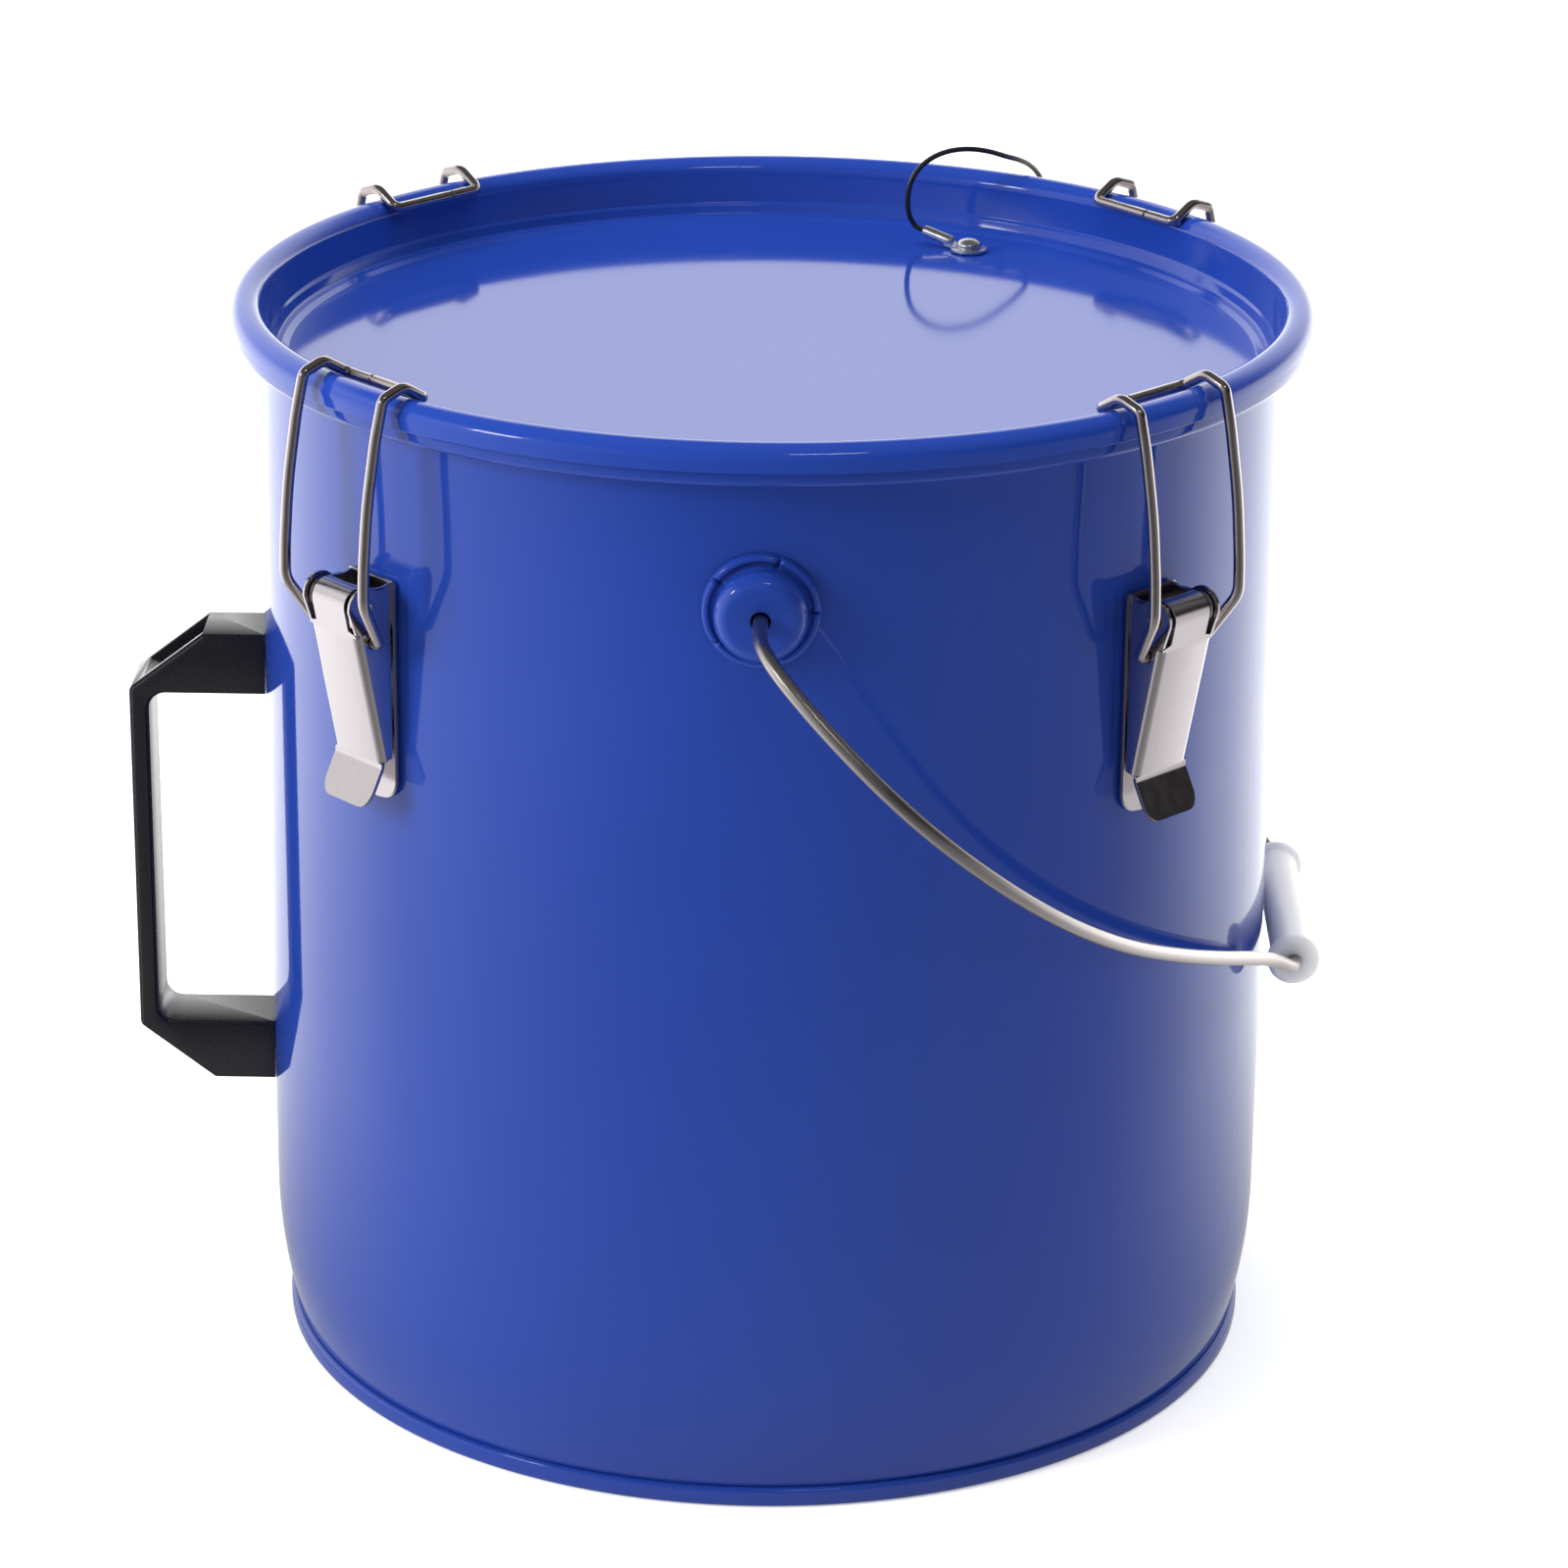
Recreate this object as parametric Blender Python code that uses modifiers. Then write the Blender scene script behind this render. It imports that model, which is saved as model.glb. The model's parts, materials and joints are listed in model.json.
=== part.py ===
"""Lidded steel wash bucket: pail, clamped lid, four wire latches, bridge handle, bail and tether."""

import math

import bmesh
import bpy
from mathutils import Matrix, Vector
from mathutils.geometry import interpolate_bezier

MM = 0.001

# ---- driving dimensions: heights are above the floor, radii and reaches are from the pail's axis ----
GAP = 0.3 * MM                      # clearance left between pieces that touch
RUN = 0.3 * MM                      # radial clearance of a shaft in its hole
ROUND_STEPS = 48                    # facets of the large turned pieces
PAIL_RADIUS = 135.4 * MM            # outside of the cylinder
PAIL_HEIGHT = 284.8 * MM            # top of the pail's rolled rim
SHEET = 0.8 * MM                    # steel sheet of pail, bottom and lid
FACET = PAIL_RADIUS * (1 - math.cos(math.pi / ROUND_STEPS))  # a facet's middle inside the circle
PANEL_RECESS = 4.0 * MM             # underside of the bottom panel above the floor
CHIME_RADIUS = PAIL_RADIUS - 2.9 * MM  # outside of the double seam at the foot
CHIME_HEIGHT = 5.2 * MM
CHIME_WIDTH = 3.1 * MM
NECK_TOP = 40.0 * MM                # the cylinder draws in below this height
NECK_DROP = 4.4 * MM                # how far it draws in at the foot
RIM_LOW = PAIL_HEIGHT - 5.3 * MM    # underside of the pail's rolled rim
RIM_CLEARANCE = 0.5 * MM            # rolled rim inside the lid's skirt
LID_RADIUS = PAIL_RADIUS + 7.1 * MM  # outside of the lid's bead
BEAD = (LID_RADIUS - PAIL_RADIUS + 2 * SHEET + GAP) / 2  # radius of the bead that straddles the rim
BEAD_HEIGHT = PAIL_HEIGHT + 0.9 * MM  # centre of the bead
SKIRT_LOW = PAIL_HEIGHT - 1.4 * MM  # lower edge of the lid's bead
LID_WALL = LID_RADIUS - 2 * BEAD - 1.1 * MM  # inner wall between the bead and the panel
LID_PANEL = PAIL_HEIGHT - 11.0 * MM  # top of the sunk lid panel
LID_PANEL_RADIUS = LID_WALL - 5.4 * MM  # flat part of the panel

EAR_HEIGHT = PAIL_HEIGHT - 37.9 * MM  # axis of the bail
EAR_CUP_RADIUS = 11.5 * MM
EAR_FLANGE_RADIUS = EAR_CUP_RADIUS + 3.2 * MM
EAR_DEPTH = 9.1 * MM                # cup face in front of the cylinder
EAR_SHEET = 1.2 * MM

BAIL_WIRE = 1.9 * MM                # radius
BAIL_BEND = BAIL_WIRE + 0.3 * MM    # bend of its ends in the ears
BAIL_REACH = PAIL_RADIUS + 58.1 * MM  # axis of the bail to the middle of the grip
GRIP_LENGTH = 72.0 * MM
GRIP_RADIUS = 5.6 * MM
GRIP_FLANGE_RADIUS = GRIP_RADIUS + 1.4 * MM
GRIP_REST = 0.7 * MM                # gap between hanging grip and cylinder

HANDLE_CENTRE = 129.4 * MM
HANDLE_OPENING_HALF = 47.9 * MM     # half height of the finger opening
HANDLE_FACE_HALF = HANDLE_OPENING_HALF + 1.3 * MM  # half height of the flat outer face
HANDLE_HALF_HEIGHT = HANDLE_OPENING_HALF + 16.9 * MM
HANDLE_SHOULDER = PAIL_RADIUS + 16.6 * MM  # where the sloped corner starts
HANDLE_REACH = HANDLE_SHOULDER + 20.2 * MM  # outer face
HANDLE_GRIP = 5.2 * MM              # thickness of the grip bar
HANDLE_WIDTH = 20.0 * MM
HANDLE_WALL = 2.6 * MM
HANDLE_SCREW_OFFSET = HANDLE_OPENING_HALF + 8.5 * MM  # screws above and below the handle's centre
SCREW_RADIUS = 2.3 * MM

LATCHES = {"front_left": -136.0, "front_right": -45.0, "back_right": 41.0, "back_left": 136.7}
PIN_REACH = PAIL_RADIUS + 10.6 * MM  # lever's pin
PIN_HEIGHT = PAIL_HEIGHT - 48.3 * MM
PIN_RADIUS = 1.6 * MM
PIN_HEAD = PIN_RADIUS + 0.7 * MM
BARREL_RADIUS = 4.5 * MM            # lever sheet rolled round the pin
BARREL_HALF_WIDTH = 6.4 * MM
LEVER_SHEET = 1.0 * MM
EAR_PLATE = (BARREL_HALF_WIDTH + 0.7 * MM, BARREL_HALF_WIDTH + 1.7 * MM)  # faces of a base ear
EAR_CREST = PIN_RADIUS + 2.5 * MM   # its round end about the pin
LEVER_HALF_WIDTH = EAR_PLATE[1] + GAP + LEVER_SHEET
LEVER_LEAN = 11.6                   # degrees, closed lever towards the pail
LEVER_LENGTH = 43.4 * MM            # pin to the bend of the finger tab
LEVER_TAB = (8.8 * MM, 7.2 * MM)    # further along, and outwards
NECK_LENGTH = 5.5 * MM              # the narrow part of the lever below the pin
FLANGE_BACK = PAIL_RADIUS + 2.8 * MM  # back edge of the lever's flanges
FLANGE_TOP = 3.4 * MM               # their back corner above the pin
FLANGE_CREST = PIN_RADIUS + 3.6 * MM  # their round top about the pin
LOOP_PIVOT_REACH = PIN_REACH - 2.0 * MM
LOOP_PIVOT_HEIGHT = PIN_HEIGHT - 9.5 * MM
LOOP_WIRE = 1.45 * MM               # radius
LOOP_HALF_WIDTH = LEVER_HALF_WIDTH + 6.1 * MM
HOOK_REACH = LID_WALL - LOOP_WIRE - 0.15 * MM  # hook bar inside the lid's bead
HOOK_HEIGHT = BEAD_HEIGHT + 3.3 * MM
BASE_REACH = PAIL_RADIUS + 0.4 * MM  # back of the base plate
BASE_SHEET = 1.2 * MM
BASE_HALF_WIDTH = EAR_PLATE[1] + 0.9 * MM
BASE_LOW = PIN_HEIGHT - 54.5 * MM
BASE_HIGH = PIN_HEIGHT + 4.6 * MM
RIVET_RADIUS = 1.3 * MM
RIVET_HEAD = 2.6 * MM
BASE_RIVETS = {"left": (-3.8 * MM, PIN_HEIGHT - 7.0 * MM), "right": (3.8 * MM, PIN_HEIGHT - 7.0 * MM),
               "lower": (0.0, BASE_LOW + 7.0 * MM)}

TETHER_WIRE = 0.75 * MM             # radius
TETHER_LID_REACH = LID_PANEL_RADIUS - 16.2 * MM
TETHER_LID_AZIMUTH = 61.2
TETHER_LID_TURN = 149.6             # degrees, where the lid terminal points
TETHER_PAIL_AZIMUTH = 57.0
TETHER_PAIL_HEIGHT = PAIL_HEIGHT - 44.8 * MM
TERMINAL_RADIUS = 5.2 * MM
TERMINAL_SHEET = 1.0 * MM
FERRULE_RADIUS = 1.6 * MM
FERRULE_END = (14.6 * MM, 4.0 * MM)  # along the terminal and above its seat
FERRULE_START = (5.4 * MM, 2.0 * MM)

BLUE = ((0.016, 0.052, 0.33), 0.22, 0.0)
STEEL = ((0.62, 0.60, 0.58), 0.28, 1.0)
WIRE = ((0.50, 0.47, 0.43), 0.34, 1.0)
ALUMINIUM = ((0.72, 0.72, 0.73), 0.35, 1.0)
ZINC = ((0.55, 0.55, 0.56), 0.35, 1.0)
BLACK = ((0.012, 0.012, 0.014), 0.42, 0.0)
CABLE = ((0.01, 0.01, 0.01), 0.5, 0.0)
WHITE = ((0.80, 0.81, 0.84), 0.35, 0.0)
RUBBER = ((0.03, 0.03, 0.03), 0.7, 0.0)


# ---- helpers ----
def clear_scene():
    for obj in list(bpy.data.objects):
        bpy.data.objects.remove(obj, do_unlink=True)


def collection(name):
    made = bpy.data.collections.new(name)
    bpy.context.scene.collection.children.link(made)
    return made


def material(name, look):
    colour, roughness, metallic = look
    made = bpy.data.materials.new(name)
    made.use_nodes = True
    shader = made.node_tree.nodes["Principled BSDF"]
    shader.inputs["Base Color"].default_value = (*colour, 1.0)
    shader.inputs["Roughness"].default_value = roughness
    shader.inputs["Metallic"].default_value = metallic
    return made


def empty(name, parent=None, location=(0, 0, 0), rotation=(0, 0, 0)):
    made = bpy.data.objects.new(name, None)
    PARTS.objects.link(made)
    made.parent = parent
    made.location = location
    made.rotation_euler = rotation
    return made


def part(name, mesh, look, parent, location=(0, 0, 0), rotation=(0, 0, 0)):
    """One sub-part with its own material, placed under its parent."""
    made = bpy.data.objects.new(name, mesh)
    PARTS.objects.link(made)
    made.parent = parent
    made.location = location
    made.rotation_euler = rotation
    if len(mesh.materials) == 0:
        mesh.materials.append(None)
    slot = made.material_slots[0]
    slot.link = "OBJECT"
    slot.material = material(name, look)
    return made


def finished_mesh(name, build):
    mesh = bpy.data.meshes.new(name)
    build.normal_update()
    build.to_mesh(mesh)
    build.free()
    mesh.shade_smooth()
    mesh.set_sharp_from_angle(angle=math.radians(35))
    return mesh


def turned_mesh(name, profile, steps=ROUND_STEPS, ring=True):
    """A profile of (radius, height) turned about Z, its outer side running down."""
    guide_mesh = bpy.data.meshes.new(name + "_profile")
    last = len(profile) - 1
    edges = [(i, i + 1) for i in range(last)]
    if ring:
        edges.append((last, 0))
    guide_mesh.from_pydata([(r, 0, z) for r, z in profile], edges, [])
    guide = bpy.data.objects.new(name + "_profile", guide_mesh)
    bpy.context.scene.collection.objects.link(guide)
    screw = guide.modifiers.new("turn", "SCREW")
    screw.axis = "Z"
    screw.steps = screw.render_steps = steps
    screw.use_merge_vertices = True
    screw.merge_threshold = 0.00001
    return mesh_of(guide)


def mesh_of(guide):
    """The evaluated mesh of a guide object, welded; the guide is removed."""
    bpy.context.view_layer.update()
    graph = bpy.context.evaluated_depsgraph_get()
    mesh = bpy.data.meshes.new_from_object(guide.evaluated_get(graph), depsgraph=graph)
    bpy.data.objects.remove(guide, do_unlink=True)
    build = bmesh.new()
    build.from_mesh(mesh)
    bmesh.ops.remove_doubles(build, verts=build.verts, dist=0.000001)
    build.to_mesh(mesh)
    build.free()
    mesh.shade_smooth()
    mesh.set_sharp_from_angle(angle=math.radians(35))
    return mesh


def prism_mesh(name, outline, low, high, axes):
    """An outline in two of the axes, raised from low to high along the third."""
    u, v, w = ("XYZ".index(a) for a in axes)
    build = bmesh.new()
    corners = []
    for a, b in outline:
        place = [0.0, 0.0, 0.0]
        place[u], place[v], place[w] = a, b, low
        corners.append(build.verts.new(place))
    face = build.faces.new(corners)
    raised = bmesh.ops.extrude_face_region(build, geom=[face])
    shift = Vector((0, 0, 0))
    shift[w] = high - low
    moved = [g for g in raised["geom"] if isinstance(g, bmesh.types.BMVert)]
    bmesh.ops.translate(build, verts=moved, vec=shift)
    bmesh.ops.recalc_face_normals(build, faces=build.faces)
    return finished_mesh(name, build)


def rods_mesh(name, rods, steps=16):
    """Cylinders (start, end, radius), each closed."""
    build = bmesh.new()
    for start, end, radius in rods:
        start, end = Vector(start), Vector(end)
        along = end - start
        turn = Vector((0, 0, 1)).rotation_difference(along).to_matrix().to_4x4()
        place = Matrix.Translation((start + end) / 2) @ turn
        bmesh.ops.create_cone(build, cap_ends=True, segments=steps, radius1=radius,
                              radius2=radius, depth=along.length, matrix=place)
    return finished_mesh(name, build)


def wire_mesh(name, points, radius, resolution=2):
    """A round wire through the points, with closed ends."""
    curve = bpy.data.curves.new(name, "CURVE")
    curve.dimensions = "3D"
    curve.bevel_depth = radius
    curve.bevel_resolution = resolution
    curve.use_fill_caps = True
    spline = curve.splines.new("POLY")
    spline.points.add(len(points) - 1)
    for target, point in zip(spline.points, points):
        target.co = (*point, 1.0)
    guide = bpy.data.objects.new(name, curve)
    bpy.context.scene.collection.objects.link(guide)
    return mesh_of(guide)


def rounded_route(corners, steps=4):
    """Points along a polyline whose corners (point, radius) are rounded off."""
    points = [Vector(p) for p, _ in corners]
    route = [points[0]]
    for i in range(1, len(points) - 1):
        before = (points[i - 1] - points[i]).normalized()
        after = (points[i + 1] - points[i]).normalized()
        radius = corners[i][1]
        half = before.angle(after) / 2
        if radius == 0 or half > math.radians(89):
            route.append(points[i])
            continue
        reach = radius / math.tan(half)
        centre = points[i] + (before + after).normalized() * radius / math.sin(half)
        first = points[i] + before * reach - centre
        second = points[i] + after * reach - centre
        axis = first.cross(second).normalized()
        sweep = first.angle(second)
        for k in range(steps + 1):
            route.append(centre + Matrix.Rotation(sweep * k / steps, 3, axis) @ first)
    route.append(points[-1])
    return route


def smooth_route(points, steps=3):
    """Points along a smooth curve through the given ones."""
    points = [Vector(p) for p in points]
    route = [points[0]]
    for i in range(len(points) - 1):
        before = points[max(i - 1, 0)]
        after = points[min(i + 2, len(points) - 1)]
        start, end = points[i], points[i + 1]
        reach = (end - start).length / 3
        leave = (end - before).normalized() * reach
        arrive = (after - start).normalized() * reach
        route += interpolate_bezier(start, start + leave, end - arrive, end, steps + 1)[1:]
    return route


def cutter(name, mesh, parent, location=(0, 0, 0), rotation=(0, 0, 0)):
    made = bpy.data.objects.new(name, mesh)
    CUTTERS.objects.link(made)
    made.parent = parent
    made.location = location
    made.rotation_euler = rotation
    made.hide_render = True
    made.display_type = "WIRE"
    return made


def boolean(obj, tool, operation):
    step = obj.modifiers.new(operation.lower(), "BOOLEAN")
    step.solver = "EXACT"
    step.operation = operation
    step.object = tool


def joined_mesh(name, base, steps):
    """A mesh with (mesh, operation) steps applied to it in turn."""
    guide = bpy.data.objects.new(name, base)
    bpy.context.scene.collection.objects.link(guide)
    tools = []
    for mesh, operation in steps:
        tool = bpy.data.objects.new(name + "_tool", mesh)
        bpy.context.scene.collection.objects.link(tool)
        boolean(guide, tool, operation)
        tools.append(tool)
    mesh = mesh_of(guide)
    for tool in tools:
        bpy.data.objects.remove(tool, do_unlink=True)
    return mesh


def arc(centre, radius, start, end, steps):
    """Points of an arc in degrees, both ends included."""
    turns = [math.radians(start + (end - start) * k / steps) for k in range(steps + 1)]
    return [(centre[0] + radius * math.cos(a), centre[1] + radius * math.sin(a)) for a in turns]


def rivet_mesh(name, grip, shank=RIVET_RADIUS, head=RIVET_HEAD, tail_gap=GAP):
    """A round-head rivet along +Z: its head rests on z = 0 and its tail closes at -grip."""
    rise = head * 0.5
    tail = head * 0.8
    profile = [(0, rise), (head * 0.6, rise * 0.8), (head, rise * 0.3), (head, tail_gap),
               (shank, tail_gap), (shank, -grip - tail_gap), (tail, -grip - tail_gap),
               (tail, -grip - tail_gap - rise * 0.7), (0, -grip - tail_gap - rise)]
    return turned_mesh(name, profile, steps=8, ring=False)


# ---- pail ----
def neck_radius(height):
    """Outside of the pail where it draws in towards the foot, an arc tangent to the cylinder."""
    fall = NECK_TOP - CHIME_HEIGHT - GAP
    bend = (fall**2 + NECK_DROP**2) / (2 * NECK_DROP)
    below = max(NECK_TOP - height, 0.0)
    return PAIL_RADIUS - bend + math.sqrt(bend**2 - below**2)


def make_shell(frame):
    foot = CHIME_HEIGHT + GAP
    heights = [NECK_TOP + (foot - NECK_TOP) * k / 5 for k in range(6)]
    rim = LID_RADIUS - SHEET - RIM_CLEARANCE
    corner = 1.6 * MM
    outer = [(rim - corner, PAIL_HEIGHT), (rim, PAIL_HEIGHT - corner), (rim, RIM_LOW + corner),
             (rim - corner, RIM_LOW), (PAIL_RADIUS + 1.0 * MM, RIM_LOW),
             (PAIL_RADIUS, RIM_LOW - 1.0 * MM)]
    outer += [(neck_radius(h), h) for h in heights]
    inner = [(neck_radius(h) - SHEET, h) for h in reversed(heights)]
    inner += [(PAIL_RADIUS - SHEET, PAIL_HEIGHT - 1.0 * MM), (PAIL_RADIUS + 0.2 * MM, PAIL_HEIGHT)]
    shell = part("pail_shell", turned_mesh("pail_shell", outer + inner), BLUE, frame)
    boolean(shell, cutter("shell_holes", shell_holes(), frame), "DIFFERENCE")


def shell_holes():
    """Holes for the latch rivets, the handle screws and the tether rivet."""
    near, far = PAIL_RADIUS - 12 * MM, PAIL_RADIUS + 12 * MM
    rods = []
    for azimuth in LATCHES.values():
        turn = Matrix.Rotation(math.radians(azimuth), 3, "Z")
        for t, height in BASE_RIVETS.values():
            start = turn @ Vector((near, t, height))
            end = turn @ Vector((far, t, height))
            rods.append((start, end, RIVET_RADIUS + RUN))
    for side in (1, -1):
        height = HANDLE_CENTRE + side * HANDLE_SCREW_OFFSET
        rods.append(((-near, 0, height), (-far, 0, height), SCREW_RADIUS + RUN))
    turn = Matrix.Rotation(math.radians(TETHER_PAIL_AZIMUTH), 3, "Z")
    start = turn @ Vector((near, 0, TETHER_PAIL_HEIGHT))
    end = turn @ Vector((far, 0, TETHER_PAIL_HEIGHT))
    rods.append((start, end, RIVET_RADIUS + RUN))
    return rods_mesh("shell_holes", rods, steps=8)


def make_bottom(frame):
    inner = CHIME_RADIUS - CHIME_WIDTH
    edge = 0.6 * MM
    profile = [(0, PANEL_RECESS + SHEET), (inner - edge, PANEL_RECESS + SHEET),
               (inner + edge, CHIME_HEIGHT), (CHIME_RADIUS - edge, CHIME_HEIGHT),
               (CHIME_RADIUS, CHIME_HEIGHT - edge), (CHIME_RADIUS, edge), (CHIME_RADIUS - edge, 0),
               (inner + edge, 0), (inner, edge), (inner, PANEL_RECESS), (0, PANEL_RECESS)]
    part("bottom_panel", turned_mesh("bottom_panel", profile, ring=False), BLUE, frame)


# ---- lid ----
def make_lid(lid):
    centre = (LID_RADIUS - BEAD, BEAD_HEIGHT)
    wall = LID_WALL
    inside = BEAD - SHEET
    top = [(0, LID_PANEL), (LID_PANEL_RADIUS, LID_PANEL), (wall - 1.8 * MM, LID_PANEL + 1.4 * MM),
           (wall, LID_PANEL + 4.4 * MM)]
    top += arc(centre, BEAD, 180, 0, 4)
    skirt = [(LID_RADIUS, SKIRT_LOW), (LID_RADIUS - SHEET, SKIRT_LOW)]
    under = arc(centre, inside, 0, 180, 4)
    under += [(wall + SHEET, LID_PANEL + 4.2 * MM), (wall - 1.2 * MM, LID_PANEL + 0.8 * MM),
              (LID_PANEL_RADIUS + 0.2 * MM, LID_PANEL - SHEET), (0, LID_PANEL - SHEET)]
    panel = part("lid_panel", turned_mesh("lid_panel", top + skirt + under, ring=False), BLUE, lid)
    x, y = tether_lid_spot()
    hole = rods_mesh("lid_hole", [((x, y, LID_PANEL - 5 * MM), (x, y, LID_PANEL + 5 * MM),
                                   RIVET_RADIUS + RUN)], steps=12)
    boolean(panel, cutter("lid_hole", hole, lid), "DIFFERENCE")
    seat = PAIL_HEIGHT + GAP
    radius = inside - GAP
    gasket = [(centre[0] - radius, seat)] + arc(centre, radius, 180, 0, 4) + [(centre[0] + radius, seat)]
    part("lid_gasket", turned_mesh("lid_gasket", gasket), RUBBER, lid)


# ---- bail ----
def make_ears(frame):
    face, cavity = EAR_DEPTH, EAR_DEPTH - EAR_SHEET
    hole = BAIL_WIRE + 0.5 * MM
    cup, bore = EAR_CUP_RADIUS, EAR_CUP_RADIUS - EAR_SHEET
    profile = [(hole, face), (cup - 2.0 * MM, face), (cup - 0.5 * MM, face - 1.0 * MM),
               (cup, face - 2.6 * MM), (cup, 2.2 * MM), (EAR_FLANGE_RADIUS, 1.6 * MM),
               (EAR_FLANGE_RADIUS, GAP), (bore, GAP), (bore, cavity - 1.5 * MM),
               (bore - 1.5 * MM, cavity), (hole, cavity)]
    mesh = turned_mesh("bail_ear", profile, steps=24)
    for name, side in (("bail_ear_front", -1), ("bail_ear_back", 1)):
        part(name, mesh, BLUE, frame, (0, side * PAIL_RADIUS, EAR_HEIGHT), (-side * math.pi / 2, 0, 0))


def bail_points():
    """The bail in its own plane: reach from its axis, then distance across; half of it, then all."""
    inside = PAIL_RADIUS + EAR_DEPTH / 2
    outside = PAIL_RADIUS + EAR_DEPTH + 5.5 * MM
    grip_end = GRIP_LENGTH / 2 + 2 * MM
    bow = [(0.001, 1.036), (0.007, 1.103), (0.031, 1.165), (0.078, 1.223), (0.140, 1.271), (0.217, 1.303),
           (0.300, 1.300), (0.388, 1.255), (0.475, 1.177), (0.563, 1.059), (0.651, 0.895), (0.744, 0.673),
           (0.832, 0.439), (0.915, 0.204), (0.947, 0.130), (0.984, 0.064), (1.0, 0.0)]
    start = rounded_route([((BAIL_BEND + 2.8 * MM, -inside, 0), 0), ((0, -inside, 0), BAIL_BEND),
                           ((0, -outside, 0), 0)])
    points = [(u * BAIL_REACH, -grip_end - share * (outside - grip_end), 0) for u, share in bow]
    half = start[:-1] + smooth_route([start[-1], *points], steps=1)
    return half + [Vector((p.x, -p.y, p.z)) for p in reversed(half)]


def make_bail(frame):
    reach = PAIL_RADIUS + GRIP_RADIUS + GRIP_REST
    hang = math.acos(reach / BAIL_REACH)
    pivot = empty("bail_pivot", frame, (0, 0, EAR_HEIGHT), (0, hang, 0))
    part("bail_wire", wire_mesh("bail_wire", bail_points(), BAIL_WIRE), WIRE, pivot)
    half, bore, edge = GRIP_LENGTH / 2, BAIL_WIRE + 0.4 * MM, 0.9 * MM
    flange = 3.0 * MM
    profile = [(bore, half), (GRIP_FLANGE_RADIUS - edge, half), (GRIP_FLANGE_RADIUS, half - edge),
               (GRIP_FLANGE_RADIUS, half - flange + edge), (GRIP_RADIUS, half - flange - edge),
               (GRIP_RADIUS, -half + flange + edge), (GRIP_FLANGE_RADIUS, -half + flange - edge),
               (GRIP_FLANGE_RADIUS, -half + edge), (GRIP_FLANGE_RADIUS - edge, -half), (bore, -half)]
    part("bail_grip", turned_mesh("bail_grip", profile, steps=24), WHITE, pivot,
         (BAIL_REACH, 0, 0), (math.pi / 2, 0, 0))


# ---- bridge handle ----
def make_handle(frame):
    foot = PAIL_RADIUS - 3 * MM
    grip = HANDLE_REACH - HANDLE_GRIP
    half = [(-foot, HANDLE_OPENING_HALF), (-foot, HANDLE_HALF_HEIGHT),
            (-HANDLE_SHOULDER, HANDLE_HALF_HEIGHT), (-HANDLE_REACH, HANDLE_FACE_HALF)]
    inner = arc((-grip + 3 * MM, HANDLE_OPENING_HALF - 3 * MM), 3 * MM, 180, 90, 3)
    low = [(x, -z) for x, z in reversed(half)]
    outline = half + low + [(x, -z) for x, z in reversed(inner)] + inner
    body = prism_mesh("handle", outline, -HANDLE_WIDTH / 2, HANDLE_WIDTH / 2, "XZY")
    build = bmesh.new()
    build.from_mesh(body)
    long = [e for e in build.edges if abs(e.verts[0].co.y - e.verts[1].co.y) < 1e-6
            and max(abs(v.co.x) for v in e.verts) > HANDLE_SHOULDER - 1 * MM
            and len({round(v.co.y, 6) for v in e.verts}) == 1]
    bmesh.ops.bevel(build, geom=long, offset=0.8 * MM, segments=1, affect="EDGES")
    build.to_mesh(body)
    build.free()
    seat, past = PAIL_RADIUS + GAP, HANDLE_HALF_HEIGHT + 15 * MM
    pail = turned_mesh("handle_seat", [(0, past), (seat, past), (seat, -past), (0, -past)], ring=False)
    pocket_half = HANDLE_WIDTH / 2 - HANDLE_WALL
    floor = HANDLE_OPENING_HALF + 4.0 * MM
    head = HANDLE_SHOULDER - 4.6 * MM
    steps = [(pail, "DIFFERENCE")]
    for side in (1, -1):
        slot = [(-HANDLE_REACH + 3.4 * MM, side * floor), (-head, side * floor),
                (-head, side * (HANDLE_HALF_HEIGHT - 2.2 * MM)),
                (-HANDLE_SHOULDER, side * (HANDLE_HALF_HEIGHT - 2.2 * MM)),
                (-HANDLE_SHOULDER, side * (HANDLE_HALF_HEIGHT + 5 * MM)),
                (-HANDLE_REACH + 3.4 * MM, side * (HANDLE_HALF_HEIGHT + 5 * MM))]
        steps.append((prism_mesh("slot", slot, -pocket_half, pocket_half, "XZY"), "DIFFERENCE"))
    screws = [((-HANDLE_SHOULDER, 0, side * HANDLE_SCREW_OFFSET), (-foot, 0, side * HANDLE_SCREW_OFFSET),
               SCREW_RADIUS + RUN) for side in (1, -1)]
    steps.append((rods_mesh("screw_holes", screws), "DIFFERENCE"))
    part("handle", joined_mesh("handle", body, steps), BLACK, frame, (0, 0, HANDLE_CENTRE))
    make_handle_screws(frame, head)


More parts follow.
